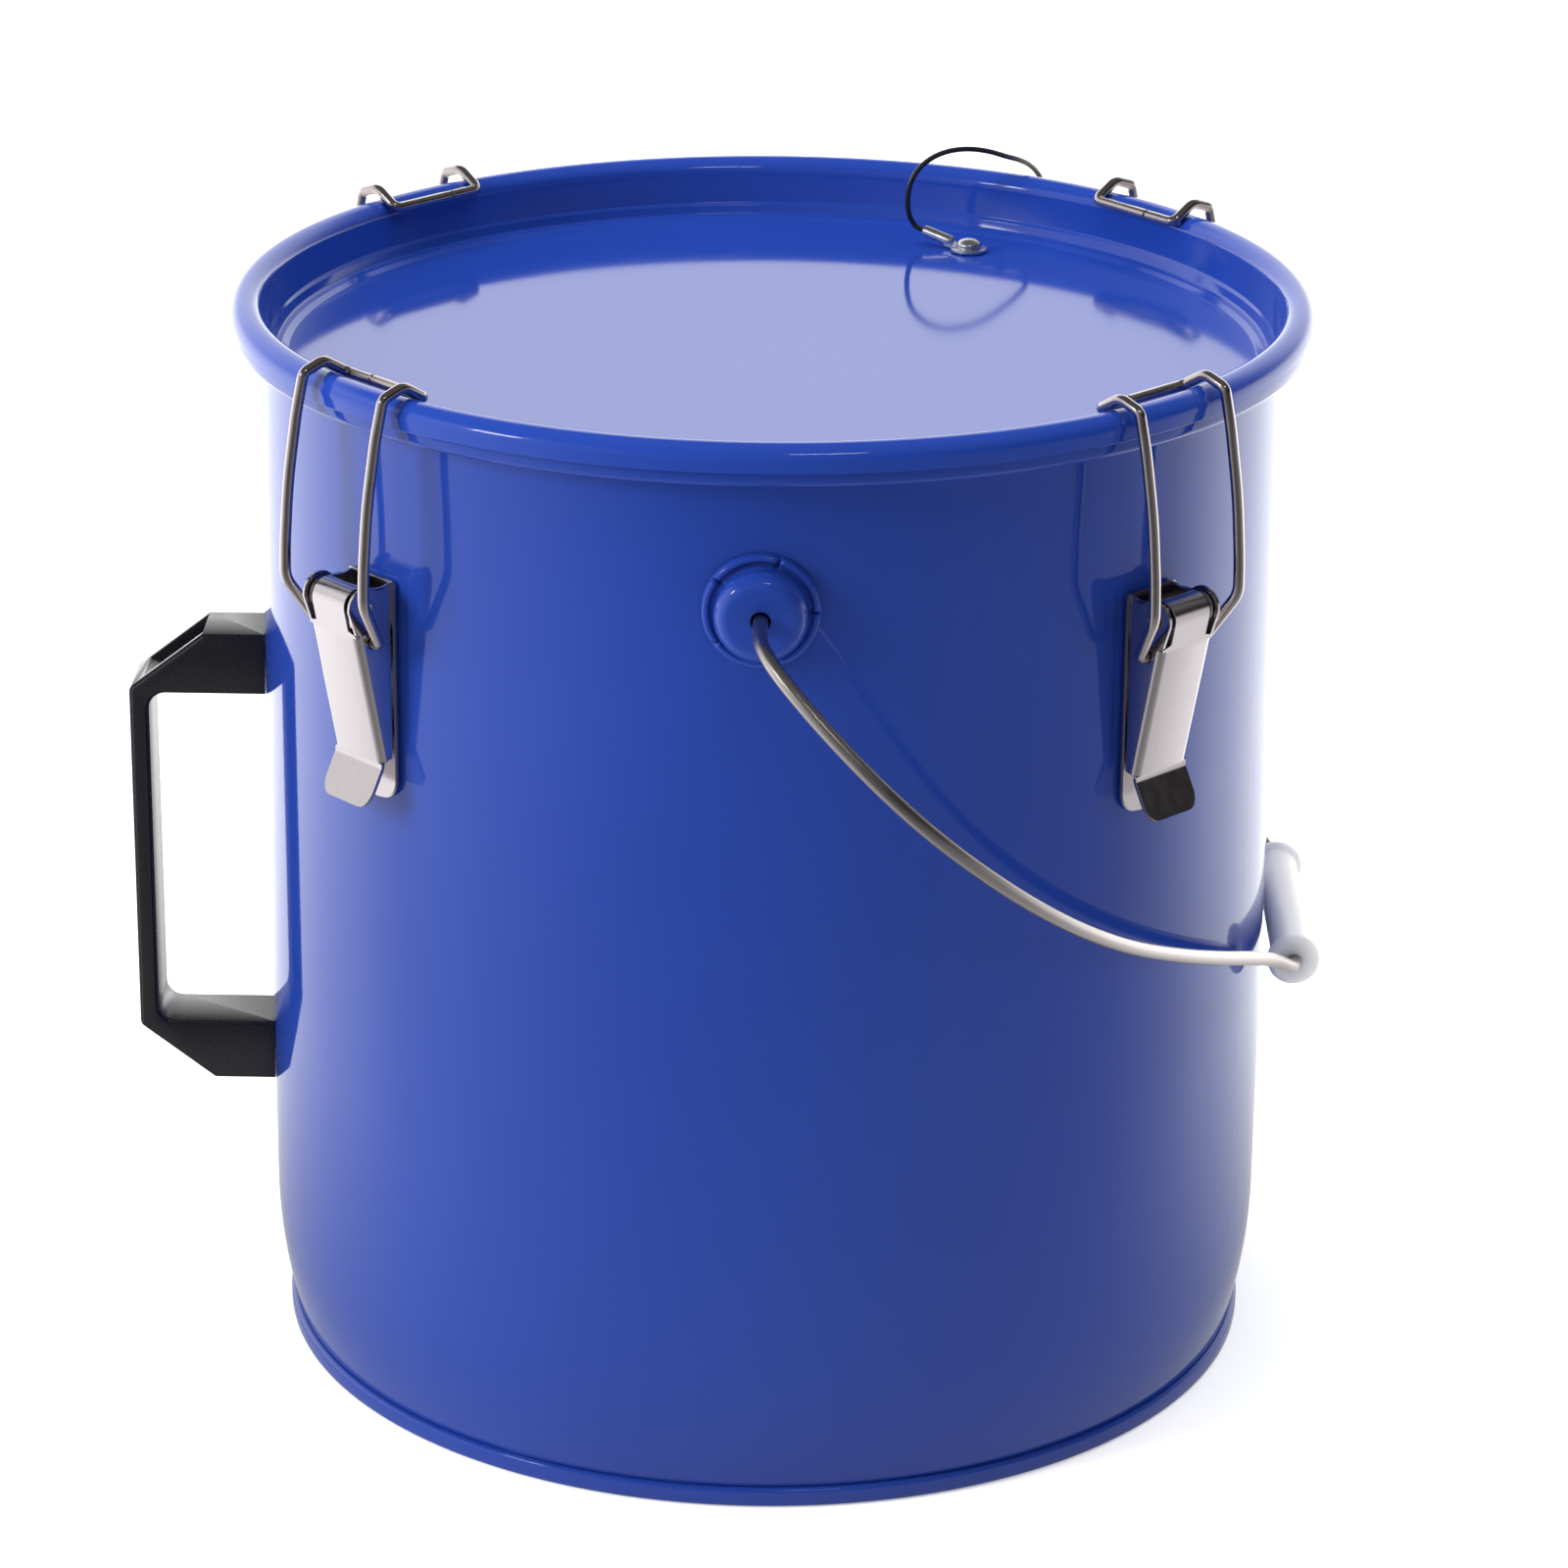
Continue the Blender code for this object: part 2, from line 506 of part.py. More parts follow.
def make_handle_screws(frame, head):
    wall = PAIL_RADIUS - SHEET
    washer, nut, tip = 1.0 * MM, 4.0 * MM, 1.2 * MM
    washer_face = wall - GAP - FACET
    nut_face = washer_face - washer - GAP
    length = head - nut_face + nut + tip
    screw_profile = [(0, 2.6 * MM), (2.8 * MM, 2.4 * MM), (4.2 * MM, 1.2 * MM), (4.2 * MM, GAP),
                     (SCREW_RADIUS, GAP), (SCREW_RADIUS, -length), (0, -length)]
    screw = turned_mesh("handle_screw", screw_profile, steps=16, ring=False)
    bore = SCREW_RADIUS + RUN
    ring = turned_mesh("handle_washer", [(bore, 0), (5 * MM, 0), (5 * MM, -washer), (bore, -washer)],
                       steps=16)
    hexagon = [(r, z) for r, z in arc((0, 0), 4.6 * MM, 0, 300, 5)]
    block = prism_mesh("handle_nut", hexagon, -nut, 0, "XYZ")
    block = joined_mesh("handle_nut", block, [(rods_mesh("nut_bore", [((0, 0, -2 * nut), (0, 0, nut), bore)]),
                                              "DIFFERENCE")])
    for name, side in (("upper", 1), ("lower", -1)):
        height = HANDLE_CENTRE + side * HANDLE_SCREW_OFFSET
        turn = (0, -math.pi / 2, 0)
        part("handle_screw_" + name, screw, ZINC, frame, (-head, 0, height), turn)
        part("handle_washer_" + name, ring, ZINC, frame, (-washer_face, 0, height), turn)
        part("handle_nut_" + name, block, ZINC, frame, (-nut_face, 0, height), turn)


# ---- latches: X outwards, Y across, Z up in each latch's own frame ----
def lever_point(along, out):
    """A point of the closed lever, from its pin along the lever and outwards, as (X, Z)."""
    lean = math.radians(LEVER_LEAN)
    return (-along * math.sin(lean) + out * math.cos(lean), -along * math.cos(lean) - out * math.sin(lean))


def lever_mesh():
    outer, inner = BARREL_RADIUS, BARREL_RADIUS - LEVER_SHEET
    tab_along, tab_out = LEVER_TAB
    slope = math.atan2(tab_out, tab_along)
    inside_bend = LEVER_LENGTH + LEVER_SHEET * math.tan(slope / 2)
    tip = (LEVER_LENGTH + tab_along, outer + tab_out)
    tip_inside = (tip[0] + LEVER_SHEET * math.sin(slope), tip[1] - LEVER_SHEET * math.cos(slope))
    roll = arc((0, 0), outer, 90, 360, 9)
    roll_inside = arc((0, 0), inner, 360, 90, 9)
    sheet = [tip, (LEVER_LENGTH, outer)] + roll + roll_inside + [(inside_bend, inner), tip_inside]
    sheet = [lever_point(along, out) for along, out in sheet]
    width = LEVER_HALF_WIDTH
    body = prism_mesh("lever", sheet, -width, width, "XZY")
    back, front = -20 * MM, 20 * MM
    round_end = tip[0] - 3.5 * MM
    trim = [(BARREL_HALF_WIDTH, -8 * MM), (BARREL_HALF_WIDTH, NECK_LENGTH), (width, NECK_LENGTH + 1 * MM)]
    trim += [(width - 3.5 * MM + x, round_end + z) for x, z in arc((0, 0), 3.9 * MM, 0, 90, 3)]
    trim += [(-x, z) for x, z in reversed(trim)]
    blank = prism_mesh("lever_blank", [(x, -z) for x, z in trim], back, front, "YZX")
    blank.transform(Matrix.Rotation(math.radians(LEVER_LEAN), 4, "Y"))
    steps = [(blank, "INTERSECT")]
    back, foot = FLANGE_BACK - PIN_REACH, LEVER_LENGTH - 1 * MM
    lean = math.radians(LEVER_LEAN)
    foot_back = lever_point(foot, (back + foot * math.sin(lean)) / math.cos(lean))
    flange = [lever_point(NECK_LENGTH + 1.2 * MM, outer - 0.2 * MM), lever_point(foot, outer - 0.2 * MM),
              foot_back, (back, FLANGE_TOP)]
    flange += arc((0, 0), FLANGE_CREST, 139, -5, 8)
    for side in (1, -1):
        low, high = sorted((side * (width - LEVER_SHEET), side * width))
        steps.append((prism_mesh("lever_flange", flange, low, high, "XZY"), "UNION"))
    axle = (LOOP_PIVOT_REACH - PIN_REACH, LOOP_PIVOT_HEIGHT - PIN_HEIGHT)
    hole = [((axle[0], -2 * width, axle[1]), (axle[0], 2 * width, axle[1]), LOOP_WIRE + RUN)]
    steps.append((rods_mesh("loop_holes", hole, steps=12), "DIFFERENCE"))
    hole = [((0, -2 * width, 0), (0, 2 * width, 0), PIN_RADIUS + RUN)]
    steps.append((rods_mesh("pin_holes", hole, steps=12), "DIFFERENCE"))
    return joined_mesh("latch_lever", body, steps)


def base_mesh():
    """Base plate with two ears for the pin and three rivet holes."""
    round_low = BASE_LOW + 6 * MM
    half = [(BASE_HALF_WIDTH, BASE_HIGH), (BASE_HALF_WIDTH, round_low)]
    half += arc((BASE_HALF_WIDTH - 6 * MM, round_low), 6 * MM, -30, -90, 2)
    outline = half + [(-t, z) for t, z in reversed(half)]
    front = BASE_REACH + BASE_SHEET
    plate = prism_mesh("base", outline, BASE_REACH, front, "YZX")
    ear = [(BASE_REACH + 3.6 * MM, PIN_HEIGHT + 3.6 * MM), (front, BASE_HIGH - 0.2 * MM),
           (front - 0.5 * MM, BASE_HIGH - 0.2 * MM), (front - 0.5 * MM, PIN_HEIGHT - 6.5 * MM)]
    ear += arc((PIN_REACH, PIN_HEIGHT), EAR_CREST, -70, 105, 6)
    steps = []
    for side in (1, -1):
        low, high = sorted((side * EAR_PLATE[0], side * EAR_PLATE[1]))
        steps.append((prism_mesh("base_ear", ear, low, high, "XZY"), "UNION"))
    holes = [((BASE_REACH - 5 * MM, t, z), (front + 3 * MM, t, z), RIVET_RADIUS + RUN)
             for t, z in BASE_RIVETS.values()]
    steps.append((rods_mesh("base_holes", holes, steps=8), "DIFFERENCE"))
    pin = [((PIN_REACH, -20 * MM, PIN_HEIGHT), (PIN_REACH, 20 * MM, PIN_HEIGHT), PIN_RADIUS + RUN)]
    steps.append((rods_mesh("pin_hole", pin), "DIFFERENCE"))
    return joined_mesh("latch_base", plate, steps)


def loop_points():
    """The wire loop from the lever's flanges over the lid's bead; its ends meet in the hook bar."""
    side, pivot = LOOP_HALF_WIDTH, (LOOP_PIVOT_REACH, LOOP_PIVOT_HEIGHT)
    bead = LID_RADIUS
    bar_end = LEVER_HALF_WIDTH + LOOP_WIRE + 1.2 * MM
    out = PIN_REACH
    half = [((0, pivot[0], pivot[1]), 0), ((bar_end, pivot[0], pivot[1]), 1.8 * MM),
            ((side, out + 5.6 * MM, PIN_HEIGHT + 3 * MM), 6 * MM),
            ((side, out + 5.4 * MM, PIN_HEIGHT + 12 * MM), 120 * MM),
            ((side, out + 4.0 * MM, PIN_HEIGHT + 28 * MM), 140 * MM),
            ((side, bead + 4.4 * MM, BEAD_HEIGHT - 4 * MM), 80 * MM),
            ((side, bead + 1.9 * MM, BEAD_HEIGHT + 5.6 * MM), 2.4 * MM),
            ((side, bead - BEAD, BEAD_HEIGHT + BEAD + LOOP_WIRE + 1.7 * MM), 4 * MM),
            ((side, HOOK_REACH, HOOK_HEIGHT), 2.2 * MM)]
    seam = 5 * MM
    left = [((-t, x, z), r) for (t, x, z), r in half[1:]]
    corners = [((-seam - 0.15 * MM, HOOK_REACH, HOOK_HEIGHT), 0)] + left[::-1] + half[1:]
    corners.append(((-seam + 0.15 * MM, HOOK_REACH, HOOK_HEIGHT), 0))
    route = rounded_route([((x, t, z), r) for (t, x, z), r in corners], steps=2)
    pivot_point = Vector((pivot[0], 0, pivot[1]))
    return [p - pivot_point for p in route]


def make_latches(frame):
    lever, base = lever_mesh(), base_mesh()
    loop = wire_mesh("latch_loop", loop_points(), LOOP_WIRE, 1)
    seat = LEVER_HALF_WIDTH + GAP
    pin_end = seat + 0.7 * MM
    pin = turned_mesh("latch_pin", [(0, pin_end), (PIN_HEAD, pin_end), (PIN_HEAD, seat), (PIN_RADIUS, seat),
                                    (PIN_RADIUS, -seat), (PIN_HEAD, -seat), (PIN_HEAD, -pin_end),
                                    (0, -pin_end)], steps=16, ring=False)
    grip = BASE_REACH + BASE_SHEET - PAIL_RADIUS + SHEET + FACET
    rivet = rivet_mesh("latch_rivet", grip)
    for name, azimuth in LATCHES.items():
        side = empty("latch_" + name, frame, rotation=(0, 0, math.radians(azimuth)))
        part("latch_base_" + name, base, STEEL, side)
        pivot = empty("lever_pivot_" + name, side, (PIN_REACH, 0, PIN_HEIGHT))
        part("latch_pin_" + name, pin, STEEL, pivot, rotation=(math.pi / 2, 0, 0))
        part("latch_lever_" + name, lever, STEEL, pivot)
        axle = (LOOP_PIVOT_REACH - PIN_REACH, 0, LOOP_PIVOT_HEIGHT - PIN_HEIGHT)
        part("latch_loop_" + name, loop, WIRE, pivot, axle)
        for place, (t, height) in BASE_RIVETS.items():
            seat = (BASE_REACH + BASE_SHEET, t, height)
            part(f"latch_rivet_{place}_{name}", rivet, STEEL, side, seat, (0, math.pi / 2, 0))


# ---- tether from the lid to the pail ----
def terminal_mesh():
    """A cable terminal seated on z = 0 round a rivet, with its ferrule towards +X."""
    seat = GAP
    disc = turned_mesh("terminal", [(RIVET_RADIUS + RUN, seat + TERMINAL_SHEET),
                                    (TERMINAL_RADIUS, seat + TERMINAL_SHEET), (TERMINAL_RADIUS, seat),
                                    (RIVET_RADIUS + RUN, seat)], steps=20)
    low, high = FERRULE_START, FERRULE_END
    tongue = prism_mesh("tongue", [(2.5 * MM, seat + 0.1 * MM), (low[0] + 2 * MM, seat + 0.6 * MM),
                                   (low[0] + 2.5 * MM, low[1] + 0.8 * MM), (2.5 * MM, seat + 0.8 * MM)],
                        -1.3 * MM, 1.3 * MM, "XZY")
    ferrule = rods_mesh("ferrule", [((low[0], 0, low[1]), (high[0], 0, high[1]), FERRULE_RADIUS)], steps=14)
    return joined_mesh("tether_terminal", disc, [(tongue, "UNION"), (ferrule, "UNION")])


def tether_lid_spot():
    azimuth = math.radians(TETHER_LID_AZIMUTH)
    return TETHER_LID_REACH * math.cos(azimuth), TETHER_LID_REACH * math.sin(azimuth)


def make_tether(frame, lid):
    terminal = terminal_mesh()
    x, y = tether_lid_spot()
    on_lid = empty("tether_lid_seat", lid, (x, y, LID_PANEL), (0, 0, math.radians(TETHER_LID_TURN)))
    above = GAP + TERMINAL_SHEET
    rivet = rivet_mesh("tether_rivet", above + SHEET + FACET, head=3.4 * MM)
    part("tether_lid_terminal", terminal, ALUMINIUM, on_lid)
    part("tether_lid_rivet", rivet, ALUMINIUM, on_lid, (0, 0, above))
    azimuth = math.radians(TETHER_PAIL_AZIMUTH)
    place = (PAIL_RADIUS * math.cos(azimuth), PAIL_RADIUS * math.sin(azimuth), TETHER_PAIL_HEIGHT)
    upright = Matrix.Rotation(azimuth, 3, "Z") @ Matrix(((0, 0, 1), (0, -1, 0), (1, 0, 0)))
    on_pail = empty("tether_pail_seat", frame, place, upright.to_euler())
    part("tether_pail_terminal", terminal, ALUMINIUM, on_pail)
    part("tether_pail_rivet", rivet, ALUMINIUM, on_pail, (0, 0, above))
    arch = [(38.2, 105.0, 279.0), (36.4, 104.2, 282.6), (36.0, 103.4, 287.0), (36.7, 103.4, 291.6),
            (38.8, 104.2, 295.4), (42.2, 105.4, 298.2), (46.0, 106.9, 299.7), (50.2, 108.6, 300.2),
            (54.6, 110.6, 299.8), (59.1, 113.2, 298.5), (63.6, 116.6, 296.4), (67.4, 120.6, 294.4),
            (70.8, 125.4, 291.6), (73.6, 129.6, 287.6), (75.6, 132.2, 282.4), (77.0, 132.6, 276.5),
            (77.6, 130.4, 270.8), (77.3, 126.2, 265.6), (76.7, 121.6, 261.2), (76.2, 118.4, 257.4)]
    along, rise = FERRULE_END
    start, end = FERRULE_START, FERRULE_END
    way = Vector((end[0] - start[0], 0, end[1] - start[1])).normalized()
    leave = Vector((along, 0, rise)) + way * GAP
    seats = []
    for seat in (on_lid, on_pail):
        place = Matrix.LocRotScale(seat.location, seat.rotation_euler, None)
        seats.append(place @ leave)
    points = [seats[0], *[Vector(p) * MM for p in arch], seats[1]]
    part("tether_cable", wire_mesh("tether_cable", smooth_route(points, steps=2), TETHER_WIRE, 1),
         CABLE, frame)


def main():
    frame = empty("pail_frame", location=(0, 0, -PANEL_RECESS))
    lid = empty("lid_frame", frame)
    make_shell(frame)
    make_bottom(frame)
    make_ears(frame)
    make_handle(frame)
    make_latches(frame)
    make_lid(lid)
    make_bail(frame)
    make_tether(frame, lid)


clear_scene()
PARTS = collection("wash_bucket")
CUTTERS = collection("cutters")
main()
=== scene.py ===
"""Looks of the lidded steel wash bucket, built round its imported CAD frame."""

import json
import math

import bmesh
import bpy
from mathutils import Matrix, Vector
from mathutils.geometry import interpolate_bezier


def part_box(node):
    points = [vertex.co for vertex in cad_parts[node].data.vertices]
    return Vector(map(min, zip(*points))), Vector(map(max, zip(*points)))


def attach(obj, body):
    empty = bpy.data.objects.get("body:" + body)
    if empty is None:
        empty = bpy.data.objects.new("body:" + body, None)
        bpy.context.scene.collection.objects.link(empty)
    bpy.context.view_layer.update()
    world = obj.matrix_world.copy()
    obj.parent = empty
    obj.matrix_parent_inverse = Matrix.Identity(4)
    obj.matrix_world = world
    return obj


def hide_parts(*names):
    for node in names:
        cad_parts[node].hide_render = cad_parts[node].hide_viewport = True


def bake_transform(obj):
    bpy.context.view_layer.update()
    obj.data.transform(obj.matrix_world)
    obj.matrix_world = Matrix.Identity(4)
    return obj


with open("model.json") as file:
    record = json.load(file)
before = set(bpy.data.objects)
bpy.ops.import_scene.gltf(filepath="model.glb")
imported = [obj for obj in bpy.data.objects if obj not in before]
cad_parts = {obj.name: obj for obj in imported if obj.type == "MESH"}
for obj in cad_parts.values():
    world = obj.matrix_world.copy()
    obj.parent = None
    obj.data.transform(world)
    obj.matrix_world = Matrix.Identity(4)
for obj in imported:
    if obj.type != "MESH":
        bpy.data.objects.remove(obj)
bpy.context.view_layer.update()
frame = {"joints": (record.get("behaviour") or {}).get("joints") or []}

MM = 0.001
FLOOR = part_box("bottom_panel")[0].z          # the chime stands on it
SHARP = math.radians(32)
ON_AXIS = 0.0001 * MM                        # a turned profile starts just off its axis
SAME_POINT = 1e-7

# heights below are above the floor, radii are from the pail's axis
PAIL_RADIUS = 135.4 * MM
SHEET = 0.8 * MM
LID_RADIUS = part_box("lid_panel")[1].x
LID_PANEL = 273.8 * MM
BEAD = 4.5 * MM
BEAD_HEIGHT = 285.7 * MM
RIM_LOW, RIM_HIGH = 279.5 * MM, 284.8 * MM


# ---- camera ----
CAMERA_TARGET = Vector((0, 0, 0.1461))
CAMERA_DISTANCE = 1.462
CAMERA_AZIMUTH = math.radians(0.9)
CAMERA_ELEVATION = math.radians(20.91)
CAMERA_ROLL = math.radians(0.523)


def make_camera():
    data = bpy.data.cameras.new("camera")
    data.sensor_width = 36
    data.lens = 123.37
    data.shift_x = 0.0099
    data.clip_start = 0.05
    camera = bpy.data.objects.new("camera", data)
    bpy.context.scene.collection.objects.link(camera)
    a, e, roll = CAMERA_AZIMUTH, CAMERA_ELEVATION, CAMERA_ROLL
    out = Vector((math.sin(a) * math.cos(e), -math.cos(a) * math.cos(e), math.sin(e)))
    right = Vector((math.cos(a), math.sin(a), 0))
    up = out.cross(right)
    turned_right = right * math.cos(roll) + up * math.sin(roll)
    turned_up = up * math.cos(roll) - right * math.sin(roll)
    turn = Matrix((turned_right, turned_up, out)).transposed()
    camera.matrix_world = Matrix.Translation(CAMERA_TARGET + out * CAMERA_DISTANCE) @ turn.to_4x4()
    bpy.context.scene.camera = camera


# ---- materials: all procedural, on object coordinates ----
def surface(name, colour, roughness, metallic=0.0):
    made = bpy.data.materials.new(name)
    made.use_nodes = True
    shader = made.node_tree.nodes["Principled BSDF"]
    shader.inputs["Base Color"].default_value = (*colour, 1)
    shader.inputs["Roughness"].default_value = roughness
    shader.inputs["Metallic"].default_value = metallic
    return made, shader


def noise(tree, scale, detail=2.0, stretch=(1, 1, 1)):
    """A noise texture on object coordinates; returns its value output."""
    where = tree.nodes.new("ShaderNodeTexCoord")
    mapping = tree.nodes.new("ShaderNodeMapping")
    mapping.inputs["Scale"].default_value = stretch
    texture = tree.nodes.new("ShaderNodeTexNoise")
    texture.inputs["Scale"].default_value = scale
    texture.inputs["Detail"].default_value = detail
    tree.links.new(where.outputs["Object"], mapping.inputs["Vector"])
    tree.links.new(mapping.outputs["Vector"], texture.inputs["Vector"])
    return texture.outputs["Fac"]


def spread(tree, value, low, high):
    """The value's middle range mapped to low..high."""
    node = tree.nodes.new("ShaderNodeMapRange")
    node.inputs["From Min"].default_value = 0.3
    node.inputs["From Max"].default_value = 0.7
    node.inputs["To Min"].default_value = low
    node.inputs["To Max"].default_value = high
    tree.links.new(value, node.inputs["Value"])
    return node.outputs["Result"]


def tint(tree, value, dark, light):
    node = tree.nodes.new("ShaderNodeMix")
    node.data_type = "RGBA"
    colours = [s for s in node.inputs if s.type == "RGBA"]
    colours[0].default_value = (*dark, 1)
    colours[1].default_value = (*light, 1)
    tree.links.new(value, node.inputs[0])
    return next(s for s in node.outputs if s.type == "RGBA")


def bump(tree, value, strength, depth):
    node = tree.nodes.new("ShaderNodeBump")
    node.inputs["Strength"].default_value = strength
    node.inputs["Distance"].default_value = depth
    tree.links.new(value, node.inputs["Height"])
    return node.outputs["Normal"]


def grained(name, dark, light, roughness, metallic, scale, stretch=(1, 1, 1), relief=0.02, depth=0.0002):
    """A surface whose colour, roughness and relief follow one fine noise."""
    made, shader = surface(name, dark, roughness[0], metallic)
    tree = made.node_tree
    fine = noise(tree, scale, 4.0, stretch)
    tree.links.new(tint(tree, fine, dark, light), shader.inputs["Base Color"])
    tree.links.new(spread(tree, fine, *roughness), shader.inputs["Roughness"])
    tree.links.new(bump(tree, fine, relief, depth), shader.inputs["Normal"])
    return made, shader


def make_paint(name, dark, light, roughness):
    """Glossy blue powder coat with a faint orange peel."""
    made, shader = surface(name, dark, roughness[0])
    tree = made.node_tree
    peel = noise(tree, 260, 1.5)
    cloud = noise(tree, 9, 2.0)
    tree.links.new(tint(tree, cloud, dark, light), shader.inputs["Base Color"])
    tree.links.new(spread(tree, cloud, *roughness), shader.inputs["Roughness"])
    tree.links.new(bump(tree, peel, 0.03, 0.0002), shader.inputs["Normal"])
    shader.inputs["IOR"].default_value = 1.52
    return made


PAINT = make_paint("blue_powder_coat", (0.012, 0.040, 0.27), (0.016, 0.052, 0.33), (0.045, 0.075))
# the lid's coat is the pail's blue made a little lighter: painted light that brightens the lid
LID_PAINT_WITH_PAINTED_LIGHT = make_paint("blue_powder_coat_lid_with_painted_light", (0.012, 0.043, 0.30), (0.016, 0.056, 0.36), (0.07, 0.10))
STEEL = grained("satin_stainless", (0.55, 0.51, 0.525), (0.60, 0.555, 0.57), (0.14, 0.20), 1.0, 420,
                (1, 1, 0.06), relief=0.006)[0]
WIRE = grained("spring_wire", (0.44, 0.39, 0.385), (0.54, 0.485, 0.475), (0.14, 0.22), 1.0, 300,
               relief=0.004)[0]
BAIL_STEEL = grained("bail_wire_steel", (0.42, 0.385, 0.375), (0.50, 0.46, 0.445), (0.30, 0.38), 1.0, 260,
                     relief=0.004)[0]
ALUMINIUM = grained("tether_aluminium", (0.66, 0.66, 0.68), (0.80, 0.80, 0.82), (0.26, 0.38), 1.0, 900)[0]
ZINC = grained("zinc_steel", (0.50, 0.50, 0.52), (0.64, 0.64, 0.66), (0.28, 0.42), 1.0, 800)[0]
BLACK = grained("black_plastic", (0.006, 0.006, 0.009), (0.011, 0.011, 0.015), (0.22, 0.30), 0.0, 1400,
                relief=0.03)[0]
CABLE = grained("cable_sheath", (0.008, 0.008, 0.009), (0.016, 0.016, 0.017), (0.30, 0.42), 0.0, 1200)[0]
RUBBER = grained("gasket_rubber", (0.020, 0.020, 0.021), (0.035, 0.035, 0.036), (0.6, 0.75), 0.0, 900)[0]
WHITE, WHITE_SHADER = grained("white_plastic", (0.87, 0.85, 0.90), (0.91, 0.89, 0.93), (0.30, 0.40), 0.0,
                              400, relief=0.02)
WHITE_SHADER.inputs["Subsurface Weight"].default_value = 0.8
WHITE_SHADER.inputs["Subsurface Radius"].default_value = (0.008, 0.008, 0.008)
WHITE_SHADER.inputs["Subsurface Scale"].default_value = 1.0


# ---- mesh helpers ----
def finish_mesh(build, name, weld=0.000002, sharp=SHARP):
    bmesh.ops.remove_doubles(build, verts=build.verts, dist=weld)
    bmesh.ops.recalc_face_normals(build, faces=build.faces)
    mesh = bpy.data.meshes.new(name)
    build.to_mesh(mesh)
    build.free()
    mesh.shade_smooth()
    mesh.set_sharp_from_angle(angle=sharp)
    return mesh


def piece(name, mesh, finish, body, nodes, place=None):
    """A finished piece that rides on a body and stands for its CAD nodes."""
    if place is not None:
        mesh = mesh.copy()
        mesh.transform(place)
    mesh.name = name
    made = bpy.data.objects.new(name, mesh)
    bpy.context.scene.collection.objects.link(made)
    mesh.materials.clear()
    mesh.materials.append(finish)
    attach(made, body)
    if nodes:
        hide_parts(*nodes)
    return made


def lofted(name, rings, closed=False, sharp=SHARP):
    """Rings of equal count joined in turn; the ends are filled unless the loft closes."""
    build = bmesh.new()
    made = [[build.verts.new(p) for p in ring] for ring in rings]
    count = len(rings[0])
    pairs = list(zip(made, made[1:]))
    if closed:
        pairs.append((made[-1], made[0]))
    for first, second in pairs:
        for k in range(count):
            n = (k + 1) % count
            build.faces.new((first[k], first[n], second[n], second[k]))
    if not closed:
        build.faces.new(made[0])
        build.faces.new(made[-1][::-1])
    return finish_mesh(build, name, sharp=sharp)


def turned(name, profile, steps=96, place=None, shape=None):
    """A closed (radius, height) profile turned about Z; shape moves a point given its angle."""
    rings = []
    for i in range(steps):
        angle = 2 * math.pi * i / steps
        ring = []
        for r, z in profile:
            if shape:
                r, z = shape(r, z, angle)
            ring.append(Vector((r * math.cos(angle), r * math.sin(angle), z)))
        rings.append(ring)
    mesh = lofted(name, rings, closed=True)
    if place is not None:
        mesh.transform(place)
    return mesh


def rounded(corners, steps=6):
    """Points along a line whose corners (point, radius) are rounded off, in 2D or 3D."""
    points = [Vector(p).to_3d() for p, _ in corners]
    route = [points[0]]
    for i in range(1, len(points) - 1):
        before = (points[i - 1] - points[i]).normalized()
        after = (points[i + 1] - points[i]).normalized()
        radius = corners[i][1]
        half = before.angle(after) / 2
        if radius == 0 or half > math.radians(89):
            route.append(points[i])
            continue
        reach = radius / math.tan(half)
        centre = points[i] + (before + after).normalized() * radius / math.sin(half)
        first = points[i] + before * reach - centre
        second = points[i] + after * reach - centre
        axis = first.cross(second).normalized()
        sweep = first.angle(second)
        for k in range(steps + 1):
            route.append(centre + Matrix.Rotation(sweep * k / steps, 3, axis) @ first)
    route.append(points[-1])
    return route


def rounded_ring(corners, steps=6):
    """A closed 2D outline with rounded corners, as pairs."""
    points = corners[-1:] + corners + corners[:1]
    route = rounded([(Vector((*p, 0)), r) for p, r in points], steps)[1:-1]
    return [(p.x, p.y) for p in route]


def profile(corners, steps=6):
    """An open 2D line with rounded corners, as pairs."""
    return [(p.x, p.y) for p in rounded([(Vector((*p, 0)), r) for p, r in corners], steps)]


def arc(centre, radius, start, end, steps):
    turns = [math.radians(start + (end - start) * k / steps) for k in range(steps + 1)]
    return [(centre[0] + radius * math.cos(a), centre[1] + radius * math.sin(a)) for a in turns]


def smooth_route(points, steps=3):
    """Points along a smooth curve through the given ones."""
    points = [Vector(p) for p in points]
    route = [points[0]]
    for i in range(len(points) - 1):
        before = points[max(i - 1, 0)]
        after = points[min(i + 2, len(points) - 1)]
        start, end = points[i], points[i + 1]
        reach = (end - start).length / 3
        leave = (end - before).normalized() * reach
        arrive = (after - start).normalized() * reach
        route += interpolate_bezier(start, start + leave, end - arrive, end, steps + 1)[1:]
    return route


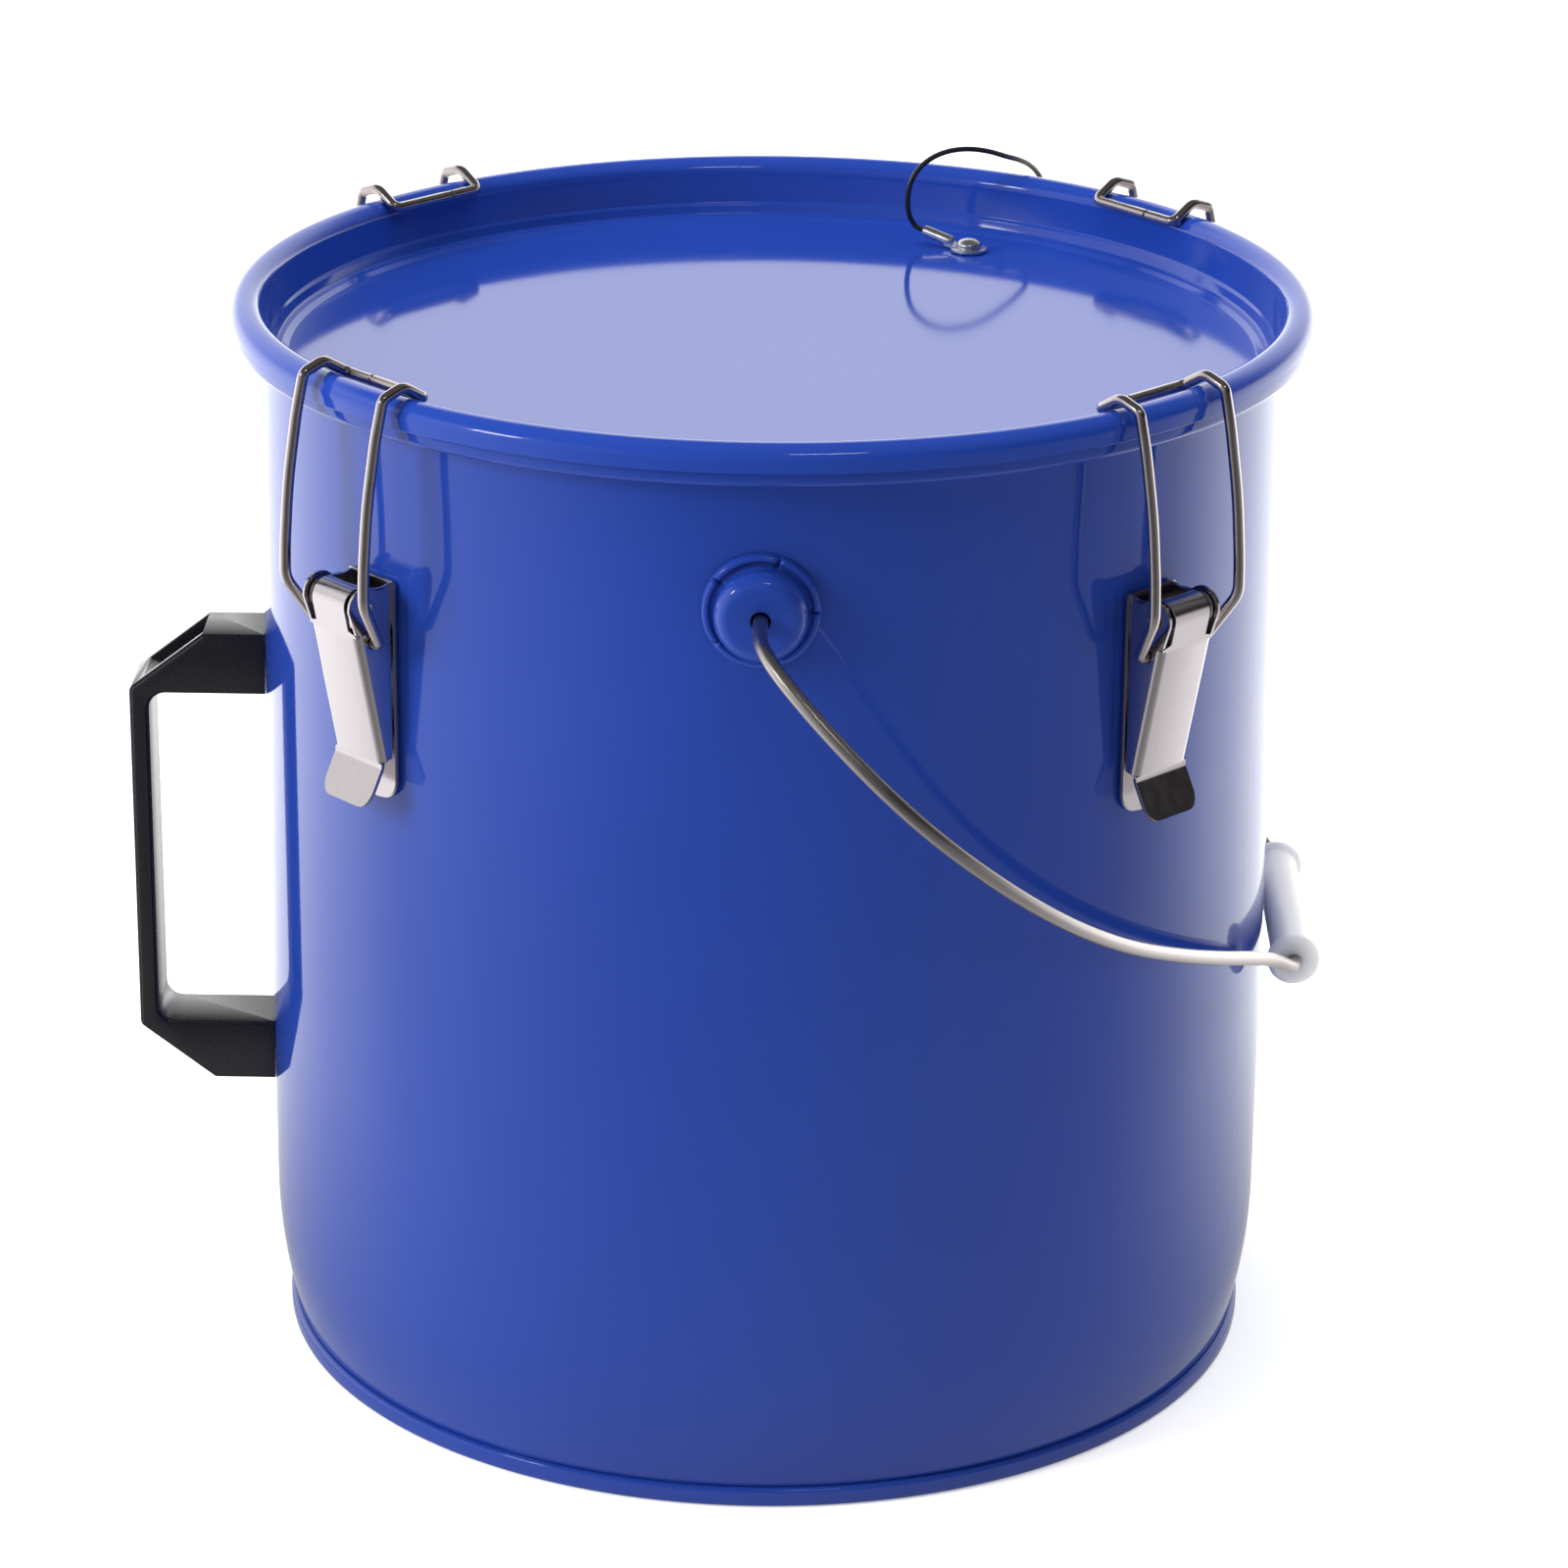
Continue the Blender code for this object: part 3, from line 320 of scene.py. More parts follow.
def tube(name, points, radius, sides=16, chamfer=0.3):
    """A round wire through the points, its ends closed and chamfered."""
    points = [Vector(p) for p in points]
    ways = []
    for i, point in enumerate(points):
        ways.append((points[min(i + 1, len(points) - 1)] - points[max(i - 1, 0)]).normalized())
    side = ways[0].orthogonal().normalized()
    rings = []
    edge = radius * chamfer
    for i, (point, way) in enumerate(zip(points, ways)):
        side = (side - way * side.dot(way)).normalized()
        other = way.cross(side)
        turns = [2 * math.pi * k / sides for k in range(sides)]
        ring = [side * math.cos(a) + other * math.sin(a) for a in turns]
        if i == 0:
            rings.append([point + d * (radius - edge) for d in ring])
            rings.append([point + way * edge + d * radius for d in ring])
        elif i == len(points) - 1:
            rings.append([point - way * edge + d * radius for d in ring])
            rings.append([point + d * (radius - edge) for d in ring])
        else:
            rings.append([point + d * radius for d in ring])
    return lofted(name, rings)


def slab(name, outline, low, high, axes, edge=0.0, segments=2, keep=0):
    """An outline in two of the axes raised along the third, its rims bevelled.

    The side between the outline's first two points stays sharp when keep is set.
    """
    u, v, w = ("XYZ".index(a) for a in axes)
    build = bmesh.new()
    corners = []
    for a, b in outline:
        place = [0.0, 0.0, 0.0]
        place[u], place[v], place[w] = a, b, low
        corners.append(build.verts.new(place))
    face = build.faces.new(corners)
    raised = bmesh.ops.extrude_face_region(build, geom=[face])
    shift = Vector((0, 0, 0))
    shift[w] = high - low
    moved = [g for g in raised["geom"] if isinstance(g, bmesh.types.BMVert)]
    bmesh.ops.translate(build, verts=moved, vec=shift)
    bmesh.ops.recalc_face_normals(build, faces=build.faces)
    if edge:
        rims = [e for e in build.edges if abs(e.verts[0].co[w] - e.verts[1].co[w]) < 1e-7]
        if keep:
            ends = [Vector(p) for p in outline[:2]]
            rims = [e for e in rims if not all(any((Vector((x.co[u], x.co[v])) - p).length < SAME_POINT
                                                   for p in ends)
                                               for x in e.verts)]
        bmesh.ops.bevel(build, geom=rims, offset=edge, segments=segments, affect="EDGES")
    return finish_mesh(build, name)


def rod(name, start, end, radius, sides=24):
    start, end = Vector(start), Vector(end)
    return tube(name, [start, (start + end) / 2, end], radius, sides, 0)


def combined(name, base, steps, edge=0.0, segments=2, limit=30):
    """A mesh with (mesh, operation) steps applied in turn, then its sharp edges bevelled."""
    guide = bpy.data.objects.new(name, base)
    bpy.context.scene.collection.objects.link(guide)
    tools = []
    for mesh, operation in steps:
        tool = bpy.data.objects.new(name + "_tool", mesh)
        bpy.context.scene.collection.objects.link(tool)
        step = guide.modifiers.new("step", "BOOLEAN")
        step.solver = "EXACT"
        step.operation = operation
        step.object = tool
        tools.append(tool)
    if edge:
        bevel = guide.modifiers.new("bevel", "BEVEL")
        bevel.width = edge
        bevel.segments = segments
        bevel.limit_method = "ANGLE"
        bevel.angle_limit = math.radians(limit)
        bevel.harden_normals = False
    bpy.context.view_layer.update()
    graph = bpy.context.evaluated_depsgraph_get()
    mesh = bpy.data.meshes.new_from_object(guide.evaluated_get(graph), depsgraph=graph)
    for made in [guide, *tools]:
        bpy.data.objects.remove(made, do_unlink=True)
    mesh.shade_smooth()
    mesh.set_sharp_from_angle(angle=SHARP)
    return mesh


def merged(name, meshes):
    """Several closed meshes as one."""
    build = bmesh.new()
    for mesh in meshes:
        build.from_mesh(mesh)
    mesh = bpy.data.meshes.new(name)
    build.to_mesh(mesh)
    build.free()
    mesh.shade_smooth()
    mesh.set_sharp_from_angle(angle=SHARP)
    return mesh


LIFT = Matrix.Translation((0, 0, FLOOR))     # heights above the floor to the row frame

# ---- tether: the route repeats the CAD's, heights above the floor, in millimetres ----
TETHER_ARCH = [
    (38.2, 105.0, 279.0), (36.4, 104.2, 282.6), (36.0, 103.4, 287.0), (36.7, 103.4, 291.6),
    (38.8, 104.2, 295.4), (42.2, 105.4, 298.2), (46.0, 106.9, 299.7), (50.2, 108.6, 300.2),
    (54.6, 110.6, 299.8), (59.1, 113.2, 298.5), (63.6, 116.6, 296.4), (67.4, 120.6, 294.4),
    (70.8, 125.4, 291.6), (73.6, 129.6, 287.6), (75.6, 132.2, 282.4), (77.0, 132.6, 276.5),
    (77.6, 130.4, 270.8), (77.3, 126.2, 265.6), (76.7, 121.6, 261.2), (76.2, 118.4, 257.4)]
TETHER_WIRE = 0.75 * MM
TETHER_LID_RIVET = (53.4 * MM, 97.1 * MM)
TETHER_LID_TURN = math.radians(149.6)
TETHER_PAIL_AZIMUTH = math.radians(57.0)
TETHER_PAIL_HEIGHT = 240.0 * MM
FERRULE_START, FERRULE_END = (5.4 * MM, 2.0 * MM), (14.6 * MM, 4.0 * MM)
SEAT_GAP = 0.3 * MM


def tether_seats():
    """Places of the lid terminal and the pail terminal in the row frame."""
    on_lid = Matrix.Translation((*TETHER_LID_RIVET, LID_PANEL)) @ Matrix.Rotation(TETHER_LID_TURN, 4, "Z")
    a = TETHER_PAIL_AZIMUTH
    upright = Matrix.Rotation(a, 4, "Z") @ Matrix(((0, 0, 1), (0, -1, 0), (1, 0, 0))).to_4x4()
    spot = (PAIL_RADIUS * math.cos(a), PAIL_RADIUS * math.sin(a), TETHER_PAIL_HEIGHT)
    return LIFT @ on_lid, LIFT @ Matrix.Translation(spot) @ upright


def make_tether():
    seats = tether_seats()
    way = Vector((FERRULE_END[0] - FERRULE_START[0], 0, FERRULE_END[1] - FERRULE_START[1])).normalized()
    leave = Vector((FERRULE_END[0], 0, FERRULE_END[1])) + way * 0.3 * MM
    ends = [seat @ leave for seat in seats]
    arch = [Vector(p) * MM + Vector((0, 0, FLOOR)) for p in TETHER_ARCH]
    route = smooth_route([ends[0], *arch, ends[1]], steps=4)
    mesh = tube("tether_cable_sheath", route, TETHER_WIRE, 12)
    cable = bpy.data.objects.new("tether_cable_sheath", mesh)
    bpy.context.scene.collection.objects.link(cable)
    mesh.materials.append(CABLE)
    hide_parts("tether_cable")
    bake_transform(cable)
    terminal = terminal_mesh()
    rivet = rivet_mesh("tether_rivet", 1.3 * MM, 3.6 * MM, 2.6 * MM, 3.0 * MM, dimple=0)
    for name, seat, body in (("lid", seats[0], "lid"), ("pail", seats[1], "pail")):
        piece(f"tether_{name}_eyelet", terminal, ALUMINIUM, body, [f"tether_{name}_terminal"],
              seat)
        piece(f"tether_{name}_dome", rivet, ALUMINIUM, body, [f"tether_{name}_rivet"],
              seat)


def terminal_mesh():
    """A washer eyelet with a tongue that runs into the crimped ferrule."""
    edge = 0.3 * MM
    low, high = SEAT_GAP, SEAT_GAP + 1.0 * MM
    ring = rounded_ring([((1.5 * MM, low), 0), ((5.2 * MM, low), edge), ((5.2 * MM, high), edge),
                         ((1.5 * MM, high), edge)], 3)
    disc = turned("eyelet_disc", ring, 48)
    start, end = FERRULE_START, FERRULE_END
    tongue = slab("eyelet_tongue", [(2.5 * MM, low + 0.1 * MM), (start[0] + 2 * MM, low + 0.6 * MM),
                                    (start[0] + 2.5 * MM, start[1] + 0.8 * MM), (2.5 * MM, low + 0.8 * MM)],
                  -1.5 * MM, 1.5 * MM, "XZY", 0.2 * MM)
    a, b = Vector((start[0], 0, start[1])), Vector((end[0], 0, end[1]))
    rings = []
    marks = [(0, 0.80), (0.04, 0.97), (0.10, 1.0), (0.45, 1.0), (0.50, 0.97), (0.55, 1.0), (0.93, 1.0),
             (0.98, 0.94), (1.0, 0.80)]
    way = (b - a).normalized()
    side = Vector((0, 1, 0))
    up = way.cross(side)
    for t, scale in marks:
        centre = a.lerp(b, t)
        turns = [2 * math.pi * k / 24 for k in range(24)]
        rings.append([centre + (side * math.cos(x) + up * math.sin(x)) * 1.6 * MM * scale for x in turns])
    return merged("eyelet", [disc, tongue, lofted("ferrule", rings)])


def rivet_mesh(name, seat, head, rise, grip, dimple=0.35, shank=1.3 * MM):
    """A domed rivet along +Z: the head rests on z = seat and the tail closes at -grip."""
    dome = [(head * math.cos(math.radians(a)), seat + 0.25 * rise + 0.75 * rise * math.sin(math.radians(a)))
            for a in range(0, 90, 15)]
    top = [(head * 0.22, seat + rise), (head * 0.16, seat + rise * (1 - dimple)),
           (ON_AXIS, seat + rise * (1 - dimple))]
    if not dimple:
        top = [(ON_AXIS, seat + rise)]
    tail = head * 0.8
    line = [(ON_AXIS, -grip - rise * 0.8), (tail * 0.7, -grip - rise * 0.7), (tail, -grip - rise * 0.4),
            (tail, -grip), (shank, -grip), (shank, seat), (head * 0.96, seat)]
    return turned(name, line + dome + top, 32)


# ---- pail ----
def neck_radius(height):
    fall = 40.0 * MM - 5.5 * MM
    drop = 4.4 * MM
    bend = (fall**2 + drop**2) / (2 * drop)
    below = max(40.0 * MM - height, 0.0)
    return PAIL_RADIUS - bend + math.sqrt(bend**2 - below**2)


def make_pail():
    rim = LID_RADIUS - SHEET - 0.5 * MM
    heights = [(40.0 + (5.5 - 40.0) * k / 12) * MM for k in range(13)]
    outer = profile([((PAIL_RADIUS + 0.2 * MM, RIM_HIGH), 0), ((rim, RIM_HIGH), 1.7 * MM),
                     ((rim, RIM_LOW), 1.7 * MM), ((PAIL_RADIUS, RIM_LOW), 0.9 * MM),
                     ((PAIL_RADIUS, 272 * MM), 0)], 8)
    outer += [(PAIL_RADIUS, h * MM) for h in (240, 190, 140, 90)]
    outer += [(neck_radius(h), h) for h in heights]
    inner = [(neck_radius(h) - SHEET, h) for h in reversed(heights)]
    inner += [(PAIL_RADIUS - SHEET, h * MM) for h in (90, 140, 190, 240)]
    inner += profile([((PAIL_RADIUS - SHEET, 272 * MM), 0), ((PAIL_RADIUS - SHEET, RIM_HIGH), 1.2 * MM),
                      ((PAIL_RADIUS + 0.1 * MM, RIM_HIGH), 0)], 5)
    piece("pail_body", turned("pail_body", outer + inner, 192, LIFT), PAINT, "pail", ["pail_shell"])
    low, wide, high = 129.4 * MM, 132.5 * MM, 5.2 * MM
    ring = profile([((ON_AXIS, 4.8 * MM), 0), ((118 * MM, 4.8 * MM), 1.2 * MM),
                    ((low - 0.3 * MM, 4.8 * MM), 1.0 * MM),
                    ((low + 0.1 * MM, high), 0.3 * MM), ((wide, high), 1.2 * MM), ((wide, 0), 1.2 * MM),
                    ((low, 0), 1.2 * MM), ((low, 4.0 * MM), 0.4 * MM), ((ON_AXIS, 4.0 * MM), 0)], 5)
    piece("pail_bottom", turned("pail_bottom", ring, 192, LIFT), PAINT, "pail", ["bottom_panel"])


def make_lid():
    centre = (LID_RADIUS - BEAD, BEAD_HEIGHT)
    wall = LID_RADIUS - 2 * BEAD - 1.1 * MM
    inside = BEAD - SHEET
    top = profile([((ON_AXIS, LID_PANEL), 0), ((127.4 * MM, LID_PANEL), 1.5 * MM),
                   ((129.2 * MM, LID_PANEL + 0.9 * MM), 0.5 * MM),
                   ((wall - 1.5 * MM, LID_PANEL + 1.2 * MM), 0.9 * MM),
                   ((wall - 0.7 * MM, LID_PANEL + 3.6 * MM), 0.8 * MM),
                   ((wall - 0.1 * MM, LID_PANEL + 4.4 * MM), 0.8 * MM),
                   ((centre[0] - BEAD - 0.1 * MM, BEAD_HEIGHT - 0.6 * MM), 0)], 5)
    top += arc(centre, BEAD, 178, 0, 24)
    skirt = [(LID_RADIUS, 283.6 * MM), (LID_RADIUS - 0.2 * MM, 283.4 * MM),
             (LID_RADIUS - SHEET + 0.2 * MM, 283.4 * MM), (LID_RADIUS - SHEET, 283.6 * MM)]
    under = arc(centre, inside, 0, 180, 20)
    under += profile([((centre[0] - inside, BEAD_HEIGHT - 2 * MM), 0),
                      ((wall + SHEET, LID_PANEL + 4.2 * MM), 0.8 * MM),
                      ((wall - 0.6 * MM, LID_PANEL + 0.6 * MM), 0.8 * MM),
                      ((127.6 * MM, LID_PANEL - SHEET), 1 * MM), ((ON_AXIS, LID_PANEL - SHEET), 0)], 4)
    piece("lid_cover", turned("lid_cover", top + skirt + under, 192, LIFT), LID_PAINT_WITH_PAINTED_LIGHT, "lid", ["lid_panel"])
    radius = inside - 0.3 * MM
    seat = RIM_HIGH + 0.3 * MM
    ring = [(centre[0] - radius, seat)] + arc(centre, radius, 180, 0, 16) + [(centre[0] + radius, seat)]
    piece("lid_seal", turned("lid_seal", ring, 144, LIFT), RUBBER, "lid", ["lid_gasket"])


# ---- bail ears, bail and grip ----
EAR_HEIGHT = 246.9 * MM
BAIL_WIRE = 1.9 * MM
BAIL_REACH = 193.5 * MM              # bail axis to the middle of the grip


def ear_shape(r, z, angle):
    """Five short radial dents pressed in the flange ring."""
    if r < 11.0 * MM or z < 0.6 * MM:
        return r, z
    spacing = 2 * math.pi / 5
    off = (angle + spacing / 2) % spacing - spacing / 2
    across = off * r
    near = math.exp(-((across / (0.55 * MM)) ** 2))
    reach = min(1.0, (r - 11.0 * MM) / (1.2 * MM))
    return r, max(z - 1.1 * MM * near * reach, 0.5 * MM)


def make_ears():
    face, sheet = 9.1 * MM, 1.2 * MM
    hole, cup, flange = 2.4 * MM, 11.5 * MM, 14.7 * MM
    outer = profile([((hole, face - 0.5 * MM), 0), ((hole + 0.1 * MM, face), 0.3 * MM),
                     ((cup - 1.9 * MM, face), 3.5 * MM),
                     ((cup, face - 3.0 * MM), 2.5 * MM), ((cup, 1.2 * MM), 0.9 * MM),
                     ((cup + 1.0 * MM, 1.1 * MM), 0.4 * MM), ((cup + 1.3 * MM, 2.2 * MM), 0.7 * MM),
                     ((flange - 0.4 * MM, 2.2 * MM), 1.0 * MM), ((flange, 0.3 * MM), 0.6 * MM)], 6)
    inner = profile([((flange, 0.3 * MM), 0), ((cup - sheet, 0.3 * MM), 0.2 * MM),
                     ((cup - sheet, face - sheet - 1.5 * MM), 1 * MM),
                     ((cup - sheet - 1.5 * MM, face - sheet), 1 * MM),
                     ((hole, face - sheet), 0)], 4)
    mesh = turned("ear", outer + inner[1:], 240, shape=ear_shape)
    for name, side in (("front", -1), ("back", 1)):
        at_ear = LIFT @ Matrix.Translation((0, side * PAIL_RADIUS, EAR_HEIGHT))
        place = at_ear @ Matrix.Rotation(-side * math.pi / 2, 4, "X")
        piece(f"ear_cup_{name}", mesh, PAINT, "pail", [f"bail_ear_{name}"], place)


def bail_points():
    """The bail in its own plane: reach from its axis, then distance across."""
    inside, outside, grip_end = PAIL_RADIUS + 4.55 * MM, PAIL_RADIUS + 14.6 * MM, 38 * MM
    bow = [(0.001, 1.036), (0.007, 1.103), (0.031, 1.165), (0.078, 1.223), (0.140, 1.271), (0.217, 1.303),
           (0.300, 1.300), (0.388, 1.255), (0.475, 1.177), (0.563, 1.059), (0.651, 0.895), (0.744, 0.673),
           (0.832, 0.439), (0.915, 0.204), (0.948, 0.118), (0.989, 0.036), (1.0, -0.005)]
    start = rounded([((5.0 * MM, -inside, 0), 0), ((0, -inside, 0), 2.2 * MM), ((0, -outside, 0), 0)])
    points = [(u * BAIL_REACH, -grip_end - share * (outside - grip_end), 0) for u, share in bow]
    points.append((BAIL_REACH, -grip_end + 6 * MM, 0))
    half = start[:-1] + smooth_route([start[-1], *points], steps=5)
    return half + [Vector((p.x, -p.y, p.z)) for p in reversed(half)]


def make_bail():
    swing = next(j for j in frame["joints"] if j["name"] == "bail_swing")
    hang = math.acos((PAIL_RADIUS + 5.6 * MM + 0.7 * MM) / BAIL_REACH)
    place = Matrix.Translation(Vector(swing["pos_m"])) @ Matrix.Rotation(hang, 4, "Y")
    piece("bail_bow", tube("bail_bow", bail_points(), BAIL_WIRE, 20), BAIL_STEEL, "bail", ["bail_wire"],
          place)
    half, bore, body, flange = 36 * MM, 2.0 * MM, 5.6 * MM, 7.0 * MM
    end = [((bore, half - 0.3 * MM), 0), ((bore + 0.3 * MM, half), 0.2 * MM),
           ((flange - 1.4 * MM, half), 2.5 * MM),
           ((flange, half - 1.4 * MM), 1.2 * MM), ((flange, half - 3.0 * MM), 1.0 * MM),
           ((body, half - 4.6 * MM), 1.6 * MM)]
    low = [((r, -z), c) for (r, z), c in reversed(end)]
    middle = [((body, z * MM), 0) for z in (20, 0, -20)]
    ring = profile(end + middle + low, 6)
    roller = Matrix.Translation((BAIL_REACH, 0, 0)) @ Matrix.Rotation(math.pi / 2, 4, "X")
    piece("bail_roller", turned("bail_roller", ring, 64), WHITE, "grip", ["bail_grip"],
          place @ roller)


# ---- bridge handle, in its own frame: centre height 0 ----
HANDLE_CENTRE = 129.4 * MM
HANDLE_REACH = 172.2 * MM
HANDLE_SHOULDER = 152.0 * MM
HANDLE_HEAD = 147.4 * MM             # screw heads rest here
SCREW_OFFSET = 56.4 * MM


def make_handle():
    high, face, opening = 64.8 * MM, 49.2 * MM, 47.9 * MM
    foot = PAIL_RADIUS - 3 * MM
    grip = HANDLE_REACH - 5.2 * MM
    half = [((-foot, opening), 0), ((-foot, high), 0), ((-HANDLE_SHOULDER, high), 1.5 * MM),
            ((-HANDLE_REACH, face), 2.5 * MM)]
    inner = [((-grip, -opening), 4.5 * MM), ((-grip, opening), 4.5 * MM)]
    corners = half + [((x, -z), r) for (x, z), r in reversed(half)] + inner
    body = slab("handle", rounded_ring(corners, 8), -10 * MM, 10 * MM, "XZY", 0.9 * MM, 3)
    seat = PAIL_RADIUS + 0.3 * MM
    pail = turned("seat", [(ON_AXIS, 80 * MM), (seat, 80 * MM), (seat, -80 * MM),
                           (ON_AXIS, -80 * MM)], 192)
    steps = [(pail, "DIFFERENCE")]
    wall = 2.6 * MM
    for side in (1, -1):
        floor, lip = 51.9 * MM, 62.6 * MM
        mouth = -HANDLE_REACH + 3.4 * MM
        slot = [((mouth, side * floor), 1.5 * MM), ((-HANDLE_HEAD, side * floor), 1.5 * MM),
                ((-HANDLE_HEAD, side * lip), 0), ((-HANDLE_SHOULDER, side * lip), 0),
                ((-HANDLE_SHOULDER, side * 70 * MM), 0), ((mouth, side * 70 * MM), 0)]
        outline = rounded_ring(slot, 4)
        steps.append((slab("slot", outline, -10 * MM + wall, 10 * MM - wall, "XZY"), "DIFFERENCE"))
        steps.append((rod("hole", (-160 * MM, 0, side * SCREW_OFFSET), (-120 * MM, 0, side * SCREW_OFFSET),
                          2.6 * MM), "DIFFERENCE"))
    mesh = combined("handle", body, steps, 0.25 * MM, 2, 50)
    place = LIFT @ Matrix.Translation((0, 0, HANDLE_CENTRE))
    piece("handle_grip", mesh, BLACK, "pail", ["handle"], place)
    make_handle_screws(place)


def make_handle_screws(place):
    wall = PAIL_RADIUS - SHEET
    washer, nut = 1.0 * MM, 4.0 * MM
    facet = PAIL_RADIUS * (1 - math.cos(math.pi / 48))
    washer_face = wall - 0.3 * MM - facet
    nut_face = washer_face - washer - 0.3 * MM
    length = HANDLE_HEAD - nut_face + nut + 1.2 * MM
    head = profile([((2.3 * MM, -length + 0.4 * MM), 0), ((2.3 * MM, 0.3 * MM), 0),
                    ((4.2 * MM, 0.3 * MM), 0.3 * MM),
                    ((4.2 * MM, 1.1 * MM), 0.8 * MM), ((2.9 * MM, 2.4 * MM), 1.6 * MM),
                    ((ON_AXIS, 2.6 * MM), 0)], 4)
    line = [(ON_AXIS, -length), (1.9 * MM, -length)] + head
    screw = turned("screw", line, 48)
    cross = [slab("cross", [(-0.45 * MM, -2 * MM), (0.45 * MM, -2 * MM), (0.45 * MM, 2 * MM),
                           (-0.45 * MM, 2 * MM)],
                  1.2 * MM, 4 * MM, axes) for axes in ("XYZ", "YXZ")]
    screw = combined("screw", screw, [(c, "DIFFERENCE") for c in cross])
    ring = turned("washer", rounded_ring([((2.6 * MM, -washer), 0), ((5 * MM, -washer), 0.25 * MM),
                                          ((5 * MM, 0), 0.25 * MM), ((2.6 * MM, 0), 0)], 3), 48)
    hexagon = arc((0, 0), 4.6 * MM, 0, 300, 5)
    block = slab("nut", hexagon, -nut, 0, "XYZ", 0.3 * MM)
    block = combined("nut", block, [(rod("bore", (0, 0, -2 * nut), (0, 0, nut), 2.6 * MM), "DIFFERENCE")])
    turn = Matrix.Rotation(-math.pi / 2, 4, "Y")
    for name, side in (("upper", 1), ("lower", -1)):
        for mesh, depth, kind in ((screw, HANDLE_HEAD, "screw"), (ring, washer_face, "washer"),
                                  (block, nut_face, "nut")):
            spot = place @ Matrix.Translation((-depth, 0, side * SCREW_OFFSET)) @ turn
            piece(f"handle_{kind}_{name}_metal", mesh, ZINC, "pail", [f"handle_{kind}_{name}"],
                  spot)


# ---- latches: X outwards, Y across, Z up in each latch's own frame ----
PIN_REACH, PIN_HEIGHT, PIN_RADIUS = 146.0 * MM, 236.5 * MM, 1.6 * MM
BARREL = 4.5 * MM
BARREL_HALF, LEVER_HALF, LEVER_SHEET = 6.4 * MM, 9.4 * MM, 1.0 * MM
FLANGE_BACK, FLANGE_TOP, FLANGE_CREST = 138.2 * MM - PIN_REACH, 3.4 * MM, 5.2 * MM
FLANGE_START, FLANGE_END = 6.9 * MM, 42.3 * MM
LEVER_LEAN = math.radians(11.6)
LEVER_LENGTH = 43.4 * MM
LEVER_TAB = (8.8 * MM, 7.2 * MM)
LOOP_PIVOT = (144.0 * MM, 227.0 * MM)
LOOP_WIRE = 1.45 * MM
BASE_BACK = PAIL_RADIUS + 0.4 * MM
BASE_FRONT = BASE_BACK + 1.2 * MM


def lever_half(along, on_roll):
    """Half width of the lever's sheet: narrow barrel, wide face, rounded tab."""
    if on_roll:
        return BARREL_HALF
    end = LEVER_LENGTH + LEVER_TAB[0]
    corner = 3.6 * MM
    if along > end - corner:
        inward = min((along - (end - corner)) / corner, 1.0)
        return LEVER_HALF - corner + corner * math.sqrt(max(1 - inward**2, 0.0))
    start, full = 5.3 * MM, 6.6 * MM
    if along < start:
        return BARREL_HALF
    if along < full:
        t = (along - start) / (full - start)
        return BARREL_HALF + (LEVER_HALF - BARREL_HALF) * math.sin(t * math.pi / 2)
    return LEVER_HALF


def flange_depth(along, on_roll):
    """How far the flange reaches behind the face: to its upright back edge."""
    if on_roll or along < FLANGE_START - 0.1 * MM or along > FLANGE_END + 0.1 * MM:
        return 0.0
    out = (FLANGE_BACK + along * math.sin(LEVER_LEAN)) / math.cos(LEVER_LEAN)
    return BARREL - out


def lever_place(along, out):
    return (-along * math.sin(LEVER_LEAN) + out * math.cos(LEVER_LEAN),
            -along * math.cos(LEVER_LEAN) - out * math.sin(LEVER_LEAN))


def flange_top_mesh(side):
    """The flange's upper part round the pin, above the face's first full-width line."""
    depth = flange_depth(FLANGE_START, False)
    seam = [lever_place(FLANGE_START, BARREL - depth), lever_place(FLANGE_START, BARREL - 1.0 * MM)]
    front = [lever_place(FLANGE_START - 0.6 * MM, BARREL - 0.3 * MM),
             lever_place(FLANGE_START - 1.6 * MM, BARREL - 0.1 * MM)]
    crest = arc((0, 0), FLANGE_CREST, -4, 139, 24)
    outline = seam + front + crest + [(FLANGE_BACK + 0.8 * MM, FLANGE_TOP),
                                      (FLANGE_BACK, FLANGE_TOP - 0.8 * MM)]
    low, high = sorted((side * (LEVER_HALF - LEVER_SHEET), side * LEVER_HALF))
    return slab("flange_top", outline, low, high, "XZY", 0.16 * MM, 2, keep=2)


